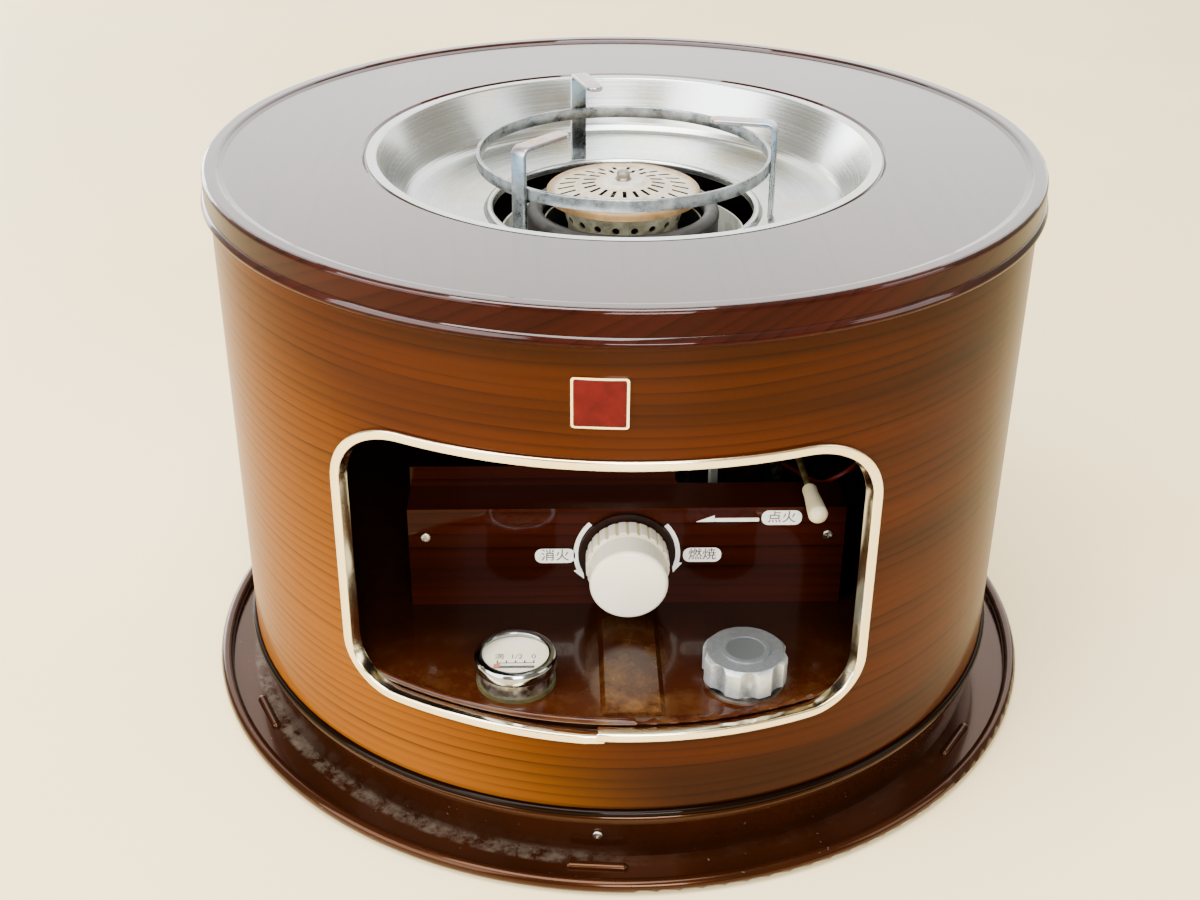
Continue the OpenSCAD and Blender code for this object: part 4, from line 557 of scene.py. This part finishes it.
def wood_print(name, light, dark, line, spacing, sway, contrast, tint, coat, shine, turn=0.0, painted_light=None):
    made, tree, shader, place = material(name, Roughness=0.3, Coat_Weight=coat, Coat_Roughness=0.05,
                                         Specular_IOR_Level=shine, Specular_Tint=linear(tint))
    turned_print = add(tree, "ShaderNodeMapping", {"Vector": place, "Rotation": (0, turn, 0)})
    axes = add(tree, "ShaderNodeSeparateXYZ", {0: turned_print.outputs[0]})
    stretched = add(tree, "ShaderNodeMapping", {"Vector": turned_print.outputs[0], "Scale": per_mm(400, 50)})
    waver = add(tree, "ShaderNodeTexNoise", {"Vector": stretched.outputs[0], "Scale": 1.0, "Detail": 2.0})
    swing = add(tree, "ShaderNodeMath", {0: waver.outputs[0], 1: sway}, operation="MULTIPLY")
    growth = add(tree, "ShaderNodeMath", {0: axes.outputs[2], 1: 1 / (spacing * mm), 2: swing.outputs[0]},
                 operation="MULTIPLY_ADD")
    ring = add(tree, "ShaderNodeMath", {0: growth.outputs[0]}, operation="FRACT")
    late = add(tree, "ShaderNodeMath", {0: ring.outputs[0], 1: 3.0}, operation="POWER")
    streak = add(tree, "ShaderNodeMapping", {"Vector": turned_print.outputs[0], "Scale": per_mm(200, 3.333)})
    pores = add(tree, "ShaderNodeTexNoise", {"Vector": streak.outputs[0], "Scale": 1.0, "Detail": 5.0})
    broad = add(tree, "ShaderNodeMapping", {"Vector": turned_print.outputs[0], "Scale": per_mm(500, 38.46)})
    tone = add(tree, "ShaderNodeTexNoise", {"Vector": broad.outputs[0], "Scale": 1.0, "Detail": 3.0})
    shade = add(tree, "ShaderNodeMapRange", {"Value": tone.outputs[0], "From Min": 0.34, "From Max": 0.66})
    ground = add(tree, "ShaderNodeMix", {0: shade.outputs[0], 6: linear(dark), 7: linear(light)},
                 data_type="RGBA")
    # Painted highlight: amber lightening at both sides, most at the lower left and less towards the back.
    if painted_light:
        tan, foot = painted_light
        slope = 0.7
        width = add(tree, "ShaderNodeSeparateXYZ", {0: place})
        rise = add(tree, "ShaderNodeMath", {0: width.outputs[2], 1: slope, 2: -160 * mm * slope},
                   operation="MULTIPLY_ADD")
        lean = add(tree, "ShaderNodeMath", {0: width.outputs[0], 1: rise.outputs[0]}, operation="ADD")
        left = add(tree, "ShaderNodeMapRange", {"Value": lean.outputs[0], "From Min": -50 * mm,
                                                "From Max": -210 * mm, "To Max": 0.9},
                   interpolation_type="SMOOTHSTEP")
        right = add(tree, "ShaderNodeMapRange", {"Value": width.outputs[0], "From Min": 170 * mm,
                                                 "From Max": 215 * mm, "To Max": 0.2},
                    interpolation_type="SMOOTHSTEP")
        both = add(tree, "ShaderNodeMath", {0: left.outputs[0], 1: right.outputs[0]}, operation="MAXIMUM")
        back = add(tree, "ShaderNodeMapRange", {"Value": width.outputs[1], "From Min": 20 * mm,
                                                "From Max": 170 * mm, "To Min": 1.0, "To Max": 0.2},
                   interpolation_type="SMOOTHSTEP")
        painted_highlight_mask = add(tree, "ShaderNodeMath", {0: both.outputs[0], 1: back.outputs[0]}, operation="MULTIPLY")
        ground = add(tree, "ShaderNodeMix", {0: painted_highlight_mask.outputs[0], 6: ground.outputs[2], 7: linear(tan)},
                     data_type="RGBA")
        # Painted shade: the print turns near black below the foot height, where the drum meets the base ring.
        low = add(tree, "ShaderNodeMapRange", {"Value": width.outputs[2], "From Min": (foot + 0.4) * mm,
                                               "From Max": foot * mm})
        ground = add(tree, "ShaderNodeMix", {0: low.outputs[0], 6: ground.outputs[2], 7: linear(line)},
                     data_type="RGBA")
    depth = add(tree, "ShaderNodeMapRange", {"Value": pores.outputs[0], "From Min": 0.35, "From Max": 0.65,
                                             "To Min": 0.1, "To Max": contrast})
    mark = add(tree, "ShaderNodeMath", {0: late.outputs[0], 1: depth.outputs[0]}, operation="MULTIPLY")
    lines = add(tree, "ShaderNodeMix", {0: mark.outputs[0], 6: ground.outputs[2], 7: linear(line)},
                data_type="RGBA")
    wire(tree, shader, lines)
    return made


panel_front, panel_mid_z, panel_screw_x, panel_screw_z = -109.5, 115.4, 106.5, 127
red_wood = wood_print("red_wood_print", light="#2c0c04", dark="#100300", line="#080100", spacing=6.5,
                      sway=2.5, contrast=0.9, tint="#ff8a50", coat=0.1, shine=0.05)
dress(red_wood, "control_panel")
dress(mottled("dark_knob_plate_enamel", "#0e0503", "#1d0a06", grain=8, smooth=0.3, rough=0.45,
              Specular_IOR_Level=0.15), "knob_escutcheon")
panel_screws = copies("panel_screw_heads", screw_head(radius=2.8, height=1.5), [
    Matrix.Translation((x * mm, (panel_front + 0.1) * mm, panel_screw_z * mm))
    @ Matrix.Rotation(math.pi / 2, 4, "X") for x in (-panel_screw_x, panel_screw_x)])
seat(panel_screws, plated, "stove", "bright_steel", "panel_screws")

# Panel printing: white screen ink under the lacquer, with curved arrows round the knob, a straight arrow for
# the lever and three rounded boxes that carry the words for putting out, burning and lighting.
white_ink = mottled("white_screen_ink", "#e6e4dc", "#fbfaf4", grain=5, smooth=0.35, rough=0.5)
ink_y = panel_front - 0.06
arrow_r, arrow_w, head_r, head_lead, head_narrow = 26.0, 2.4, 4.6, 4.9, 0.72
bar_x, bar_z, bar_l, bar_t, bar_corner = 57.8, 136.2, 23.4, 2.2, 0.3
bar_head = ((36.2, 135.1), (46.0, 135.1), (46.0, 139.0))
box_h, box_corner, word_h = 8.8, 3.8, 7.6
boxes = (("消火", -38.2, 114.5, 21.3), ("燃焼", 40.2, 114.5, 20.3), ("点火", 81.5, 137.3, 21.2))


def front_plate(name, x, y, z, wide, high, round_top, round_low, steps=8):
    bpy.ops.object.select_all(action="DESELECT")
    bpy.ops.mesh.primitive_plane_add(size=1, rotation=(math.pi / 2, 0, 0), location=(x * mm, y * mm, z * mm))
    plate = bpy.context.object
    plate.name = name
    plate.scale = (wide * mm, high * mm, 1)
    bpy.ops.object.transform_apply(location=True, rotation=True, scale=True)
    for edge, radius in ((z + high / 2, round_top), (z - high / 2, round_low)):
        picked(plate, "VERT", lambda c: abs(c.z - edge * mm) < 1e-6)
        bpy.ops.mesh.bevel(offset=radius * mm, segments=steps, affect="VERTICES")
        bpy.ops.object.mode_set(mode="OBJECT")
    return plate


def swept_arrow(start, sweep):
    bpy.ops.object.select_all(action="DESELECT")
    bpy.ops.mesh.primitive_plane_add(size=mm)
    arrow = bpy.context.object
    bpy.ops.object.mode_set(mode="EDIT")
    bpy.ops.mesh.select_mode(type="VERT")
    bpy.ops.mesh.merge(type="CENTER")
    bpy.ops.transform.translate(value=(arrow_r * mm, ink_y * mm, panel_mid_z * mm))
    bpy.ops.mesh.extrude_region_move(TRANSFORM_OT_translate={"value": (arrow_w * mm, 0, 0)})
    bpy.ops.mesh.select_all(action="SELECT")
    bpy.ops.mesh.spin(steps=24, angle=math.radians(sweep), axis=(0, 1, 0),
                      center=(0, ink_y * mm, panel_mid_z * mm))
    bpy.ops.object.mode_set(mode="OBJECT")
    about = Matrix.Translation((0, 0, panel_mid_z * mm))
    arrow.data.transform(about @ Matrix.Rotation(math.radians(-start), 4, "Y") @ about.inverted())
    tip = math.radians(start + sweep + math.copysign(head_lead, sweep))
    ahead = math.copysign(math.pi / 2, sweep)
    middle = (arrow_r + arrow_w / 2) * mm
    bpy.ops.object.select_all(action="DESELECT")
    bpy.ops.mesh.primitive_circle_add(vertices=3, radius=head_r * mm, fill_type="NGON")
    head = bpy.context.object
    head.data.transform(Matrix.Translation((middle * math.cos(tip), ink_y * mm,
                                            panel_mid_z * mm + middle * math.sin(tip)))
                        @ Matrix.Rotation(math.pi / 2, 4, "X")
                        @ Matrix.Rotation(tip + ahead - math.pi / 2, 4, "Z")
                        @ Matrix.Scale(head_narrow, 4, (1, 0, 0)))
    return [arrow, head]


prints = swept_arrow(start=135.7, sweep=64.0) + swept_arrow(start=41.0, sweep=-52.0)
for word, x, z, wide in boxes:
    prints.append(front_plate("box", x, ink_y, z, wide, box_h, box_corner, box_corner))
prints.append(front_plate("bar", bar_x, ink_y, bar_z, bar_l, bar_t, bar_corner, bar_corner, 1))
bpy.ops.object.select_all(action="DESELECT")
bpy.ops.mesh.primitive_circle_add(vertices=3, radius=1.0 * mm, fill_type="NGON")
prints.append(bpy.context.object)
for v, (x, z) in zip(prints[-1].data.vertices, bar_head):
    v.co = (x * mm, ink_y * mm, z * mm)
printing = joined("panel_print", prints)
bpy.ops.object.mode_set(mode="EDIT")
bpy.ops.mesh.select_all(action="SELECT")
bpy.ops.mesh.normals_make_consistent(inside=False)
bpy.ops.object.mode_set(mode="OBJECT")
finished(printing, "SOLIDIFY", thickness=0.05 * mm, offset=0.0)
seat(printing, white_ink, "stove", "dial_cream")
words = [lettering(word, word_h, x, ink_y - 0.05, z, math.pi / 2) for word, x, z, wide in boxes]
word_ink = mottled("red_brown_print_ink", "#2a0e08", "#43170d", grain=4, smooth=0.35, rough=0.5)
seat(joined("panel_words", words), word_ink, "stove", "panel_enamel")

# Knob: one ivory moulding with a fluted skirt and a plain domed nose, pushed on the spindle. The hollows
# of the flutes on the skirt are a darker, yellower cream.
knob_resin, tree, shader, place = material("ivory_urea_moulding", Roughness=0.3, IOR=1.54)
own = add(tree, "ShaderNodeMapping", {"Vector": place, "Location": (0, 0, -panel_mid_z * mm)})
axes, flat, out = from_axis(tree, own.outputs[0], 0, 2)
flute = add(tree, "ShaderNodeMapRange", {"Value": out.outputs["Value"], "From Min": 22 * mm,
                                         "From Max": 21.2 * mm})
skirt = add(tree, "ShaderNodeMapRange", {"Value": axes.outputs[1], "From Min": -125.5 * mm,
                                         "From Max": -123.5 * mm})
flute_hollows = add(tree, "ShaderNodeMath", {0: flute.outputs[0], 1: skirt.outputs[0]}, operation="MULTIPLY")
cloud = add(tree, "ShaderNodeTexNoise", {"Vector": place, "Scale": 1 / (18.18 * mm), "Detail": 4.0})
body = add(tree, "ShaderNodeMix", {0: cloud.outputs[0], 6: linear("#f3e8c8"), 7: linear("#fffaea")},
           data_type="RGBA")
tone = add(tree, "ShaderNodeMix", {0: flute_hollows.outputs[0], 6: body.outputs[2], 7: linear("#d8c898")},
           data_type="RGBA")
wire(tree, shader, tone)
seat(softened("wick_knob", "wick_knob_moulding", width=0.35), knob_resin, "wick_drive", "cream_plastic",
     "wick_knob")

# Outer drum: sheet steel rolled to a cylinder, printed with wood grain and cleared with a hard lacquer. The
# grain lies level in wavering lines about 5.6 mm apart. Painted highlight: the print is lightened to amber at
# both sides, widest low at the left and less towards the back. Painted shade: it turns near black along the
# foot, where the drum meets the base ring.
wood = wood_print("wood_print_lacquer", light="#441b03", dark="#260e02", line="#0a0301", spacing=5.6,
                  sway=3.4, contrast=0.75, tint="#ff9a38", coat=0.12, shine=0.02, painted_light=("#744003", 35.0))
dress(wood, "outer_drum")

# Window trim: a bright rolled-metal bead pushed over the cut edge of the drum. Its ends meet at the bottom
# middle, where the left end has slipped under the right one and lies a little lower.
polished, tree, shader, place = material("polished_trim_metal", Metallic=1.0)
scuff = add(tree, "ShaderNodeTexNoise", {"Vector": place, "Scale": 1 / (14.29 * mm), "Detail": 6.0,
                                         "Roughness": 0.7})
warm = add(tree, "ShaderNodeMix", {0: scuff.outputs[0], 6: linear("#f3dfae"), 7: linear("#fff5dc")},
           data_type="RGBA")
wear = add(tree, "ShaderNodeMapRange", {"Value": scuff.outputs[0], "To Min": 0.08, "To Max": 0.24})
wire(tree, shader, warm, wear)
window_w, window_low, window_high, drum_r = 249.2, 83.5, 229.0, 219.0
trim_face, bead_t, top_corner, low_corner, trim_depth, out_front = 5.0, 2.2, 38, 27, 5, -300
foot_z, joint_drop, joint_run, joint_tuck, right_lap, left_lap = 90, 1.9, 70, 0.9, -0.8, 3.4


def wrapped(piece, radius):
    bpy.ops.object.select_all(action="DESELECT")
    bpy.ops.mesh.primitive_cylinder_add(vertices=720, radius=radius * mm, depth=0.7)
    former = bpy.context.object
    only(piece)
    finished(piece, "SHRINKWRAP", target=former, wrap_method="PROJECT", use_project_y=True,
             use_negative_direction=True, use_positive_direction=True, project_limit=0.3)
    bpy.data.objects.remove(former)


trim = front_plate("window_trim_bead", 0, out_front, (window_low + window_high) / 2, window_w + 2 * trim_face,
                   window_high - window_low + 2 * trim_face, top_corner, low_corner, 14)
bpy.ops.object.mode_set(mode="EDIT")
bpy.ops.mesh.select_all(action="SELECT")
bpy.ops.mesh.inset(thickness=(trim_face - bead_t) * mm)
bpy.ops.mesh.delete(type="FACE")
picked(trim, "EDGE", lambda a, b: (a - b).length > 30 * mm)
bpy.ops.mesh.subdivide(number_cuts=46)
picked(trim, "FACE", lambda c: c.z < foot_z * mm and abs(c.x) < 1 * mm)
bpy.ops.mesh.delete(type="FACE")
bpy.ops.object.mode_set(mode="OBJECT")
foot = [v for v in trim.data.vertices if v.co.z < foot_z * mm]
right_end = min(v.co.x for v in foot if v.co.x > 0)
left_end = max(v.co.x for v in foot if v.co.x < 0)
tail = []
for v in foot:
    if abs(v.co.x - right_end) < 1e-5:
        v.co.x = right_lap * mm
    elif abs(v.co.x - left_end) < 1e-5:
        v.co.x = left_lap * mm
        v.co.z -= joint_drop * mm
        tail.append(v.index)
    elif -joint_run * mm < v.co.x < 0:
        v.co.z -= joint_drop * mm * (1 + v.co.x / (joint_run * mm))
wrapped(trim, drum_r + 0.1)
for i in tail:
    trim.data.vertices[i].co.y += joint_tuck * mm
centre = Vector((0, 0, (window_low + window_high) / 2 * mm))
spot_number = {v.co.to_tuple(7): v.index for v in trim.data.vertices}
faces_at = {}
for f in trim.data.polygons:
    for key in f.edge_keys:
        faces_at.setdefault(key, []).append(f.center.copy())


def inner_edge(a, b):
    sides = faces_at[tuple(sorted((spot_number[a.to_tuple(7)], spot_number[b.to_tuple(7)])))]
    middle = (a + b) / 2
    seam = abs(a.x - b.x) < 1e-4 and middle.z < foot_z * mm and abs(middle.x) < 5 * mm
    away, inward = sides[0] - middle, centre - middle
    return len(sides) == 1 and not seam and away.x * inward.x + away.z * inward.z < 0


picked(trim, "EDGE", inner_edge)
bpy.ops.mesh.extrude_edges_move()
bpy.ops.transform.resize(value=(1 - trim_depth / drum_r, 1 - trim_depth / drum_r, 1),
                         center_override=(0, 0, 0))
bpy.ops.mesh.select_all(action="SELECT")
bpy.ops.mesh.normals_make_consistent(inside=False)
bpy.ops.object.mode_set(mode="OBJECT")
if max(trim.data.polygons, key=lambda f: f.center.z).normal.y > 0:
    bpy.ops.object.mode_set(mode="EDIT")
    bpy.ops.mesh.flip_normals()
    bpy.ops.object.mode_set(mode="OBJECT")
finished(trim, "SOLIDIFY", thickness=bead_t * mm, offset=1.0, use_even_offset=True)
finished(trim, "BEVEL", width=1.7 * mm, segments=5, limit_method="ANGLE", angle_limit=math.radians(50))
trim.data.transform(Matrix.Rotation(casing_turn, 4, "Z"))
bpy.ops.object.shade_smooth_by_angle(angle=math.radians(50))
seat(trim, polished, "stove", "bright_trim", "window_trim")

# Badge plate: a small pressed plate glued above the window, with a bright border and a plain field of deep
# red enamel.
dress(polished, "badge_plate")
badge_z, badge_w, badge_h, badge_rim, badge_corner, badge_skin = 262.0, 25.4, 24.4, 2.2, 0.8, 220.3
field = front_plate("badge_field", 0, out_front, badge_z, badge_w - badge_rim, badge_h - badge_rim,
                    badge_corner, badge_corner, 3)
bpy.ops.object.mode_set(mode="EDIT")
bpy.ops.mesh.select_all(action="SELECT")
bpy.ops.mesh.inset(thickness=0.3 * mm)
bpy.ops.mesh.subdivide(number_cuts=7)
bpy.ops.object.mode_set(mode="OBJECT")
wrapped(field, badge_skin + 0.02)
finished(field, "SOLIDIFY", thickness=0.15 * mm, offset=1.0)
field.data.transform(Matrix.Rotation(casing_turn, 4, "Z"))
red = mottled("red_badge_enamel", "#400203", "#520506", grain=6, smooth=0.3, rough=0.45,
              Specular_IOR_Level=0.12)
seat(field, red, "stove", "badge_red")

# Top plate: one pressing with a raised rim and a skirt over the drum, wood-printed nearly black. The clear
# lacquer ran thin on the skirt, and lies so thick on the top that it mirrors the room and looks grey.
dark_wood = wood_print("dark_wood_print", light="#2c0c06", dark="#130403", line="#040100", spacing=6.0,
                       sway=5.0, contrast=0.95, tint="#ff7a50", coat=1.0, shine=0.1, turn=math.radians(28))
tree = dark_wood.node_tree
skin = add(tree, "ShaderNodeNewGeometry")
upright = add(tree, "ShaderNodeSeparateXYZ", {0: skin.outputs["Normal"]})
lacquer = add(tree, "ShaderNodeMapRange", {"Value": upright.outputs[2], "From Min": 0.3, "From Max": 0.8,
                                           "To Min": 0.08})
tree.links.new(lacquer.outputs[0], tree.nodes["Principled BSDF"].inputs["Coat Weight"])
dress(dark_wood, "top_plate")

# Skirt edge: the lower edge of the top plate's skirt is rolled outwards into a thin bead, in the same print
# and lacquer. The bead runs out upwards into the skirt's wall and catches a line of light.
edge_r, edge_z, roll_r, run_out = 221.2, 290.7, 1.8, 1.4
bpy.ops.object.select_all(action="DESELECT")
bpy.ops.mesh.primitive_torus_add(major_segments=360, minor_segments=20, major_radius=edge_r * mm,
                                 minor_radius=roll_r * mm, location=(0, 0, edge_z * mm))
bpy.ops.object.transform_apply(location=True)
rolled = bpy.context.object
rolled.name = "skirt_rolled_edge"
picked(rolled, "FACE", lambda c: c.z > (edge_z + 0.92 * roll_r) * mm)
bpy.ops.transform.translate(value=(0, 0, run_out * mm))
bpy.ops.object.mode_set(mode="OBJECT")
bpy.ops.object.shade_smooth()
seat(rolled, dark_wood, "stove", "top_enamel")

# Drip bowl: spun stainless steel, dropped into the top plate's hole. Spinning left fine rings about 1 mm
# apart, and boiled-over water has left straw-coloured stains on the floor.
spun, tree, shader, place = material("spun_stainless_steel", Metallic=1.0)
axes, flat, out = from_axis(tree, place)
track = add(tree, "ShaderNodeCombineXYZ", {0: out.outputs["Value"], 1: axes.outputs[2]})
rings = add(tree, "ShaderNodeTexNoise", {"Vector": track.outputs[0], "Scale": 1 / (1.0 * mm), "Detail": 3.0})
drops = add(tree, "ShaderNodeTexNoise", {"Vector": place, "Scale": 1 / (41.67 * mm), "Detail": 7.0,
                                         "Roughness": 0.65})
stain = add(tree, "ShaderNodeMapRange", {"Value": drops.outputs[0], "From Min": 0.48, "From Max": 0.68,
                                         "To Max": 0.5})
clean = add(tree, "ShaderNodeMix", {0: rings.outputs[0], 6: linear("#a3a7a8"), 7: linear("#d6dada")},
            data_type="RGBA")
tone = add(tree, "ShaderNodeMix", {0: stain.outputs[0], 6: clean.outputs[2], 7: linear("#b7ad85")},
           data_type="RGBA")
wear = add(tree, "ShaderNodeMapRange", {"Value": rings.outputs[0], "To Min": 0.16, "To Max": 0.36})
relief = add(tree, "ShaderNodeBump", {"Height": rings.outputs[0], "Distance": 0.1 * mm, "Strength": 0.12})
wire(tree, shader, tone, wear, relief)
dress(spun, "drip_bowl")

# Trivet: flat steel strip, bent and welded, zinc-plated. Flame has rusted the tops of the arms and left a
# blue bloom down the legs.
bloom, tree, shader, place = material("flame_marked_zinc_strip", Metallic=1.0)
axes = add(tree, "ShaderNodeSeparateXYZ", {0: place})
cloud = add(tree, "ShaderNodeTexNoise", {"Vector": place, "Scale": 1 / (9.091 * mm), "Detail": 7.0,
                                         "Roughness": 0.7})
spread = add(tree, "ShaderNodeMapRange", {"Value": cloud.outputs[0], "From Min": 0.35, "From Max": 0.65})
zinc = add(tree, "ShaderNodeMix", {0: spread.outputs[0], 6: linear("#5e6366"), 7: linear("#a6abac")},
           data_type="RGBA")
top = add(tree, "ShaderNodeMapRange", {"Value": axes.outputs[2], "From Min": 318.5 * mm,
                                       "From Max": 322.5 * mm})
rusty = add(tree, "ShaderNodeMath", {0: top.outputs[0], 1: spread.outputs[0]}, operation="MULTIPLY")
leg = add(tree, "ShaderNodeMapRange", {"Value": axes.outputs[2], "From Min": 303 * mm, "From Max": 312 * mm,
                                       "To Max": 0.65})
blue = add(tree, "ShaderNodeMix", {0: leg.outputs[0], 6: zinc.outputs[2], 7: linear("#a4c4e0")},
           data_type="RGBA")
tone = add(tree, "ShaderNodeMix", {0: rusty.outputs[0], 6: blue.outputs[2], 7: linear("#b88a62")},
           data_type="RGBA")
wear = add(tree, "ShaderNodeMapRange", {"Value": spread.outputs[0], "To Min": 0.22, "To Max": 0.42})
wire(tree, shader, tone, wear)
seat(softened("trivet_ring", "trivet_ring_strip", width=0.45), bloom, "trivet", "bright_steel", "trivet_ring")
seat(softened("trivet_legs", "trivet_leg_strips", width=0.6), bloom, "trivet", "bright_steel", "trivet_legs")
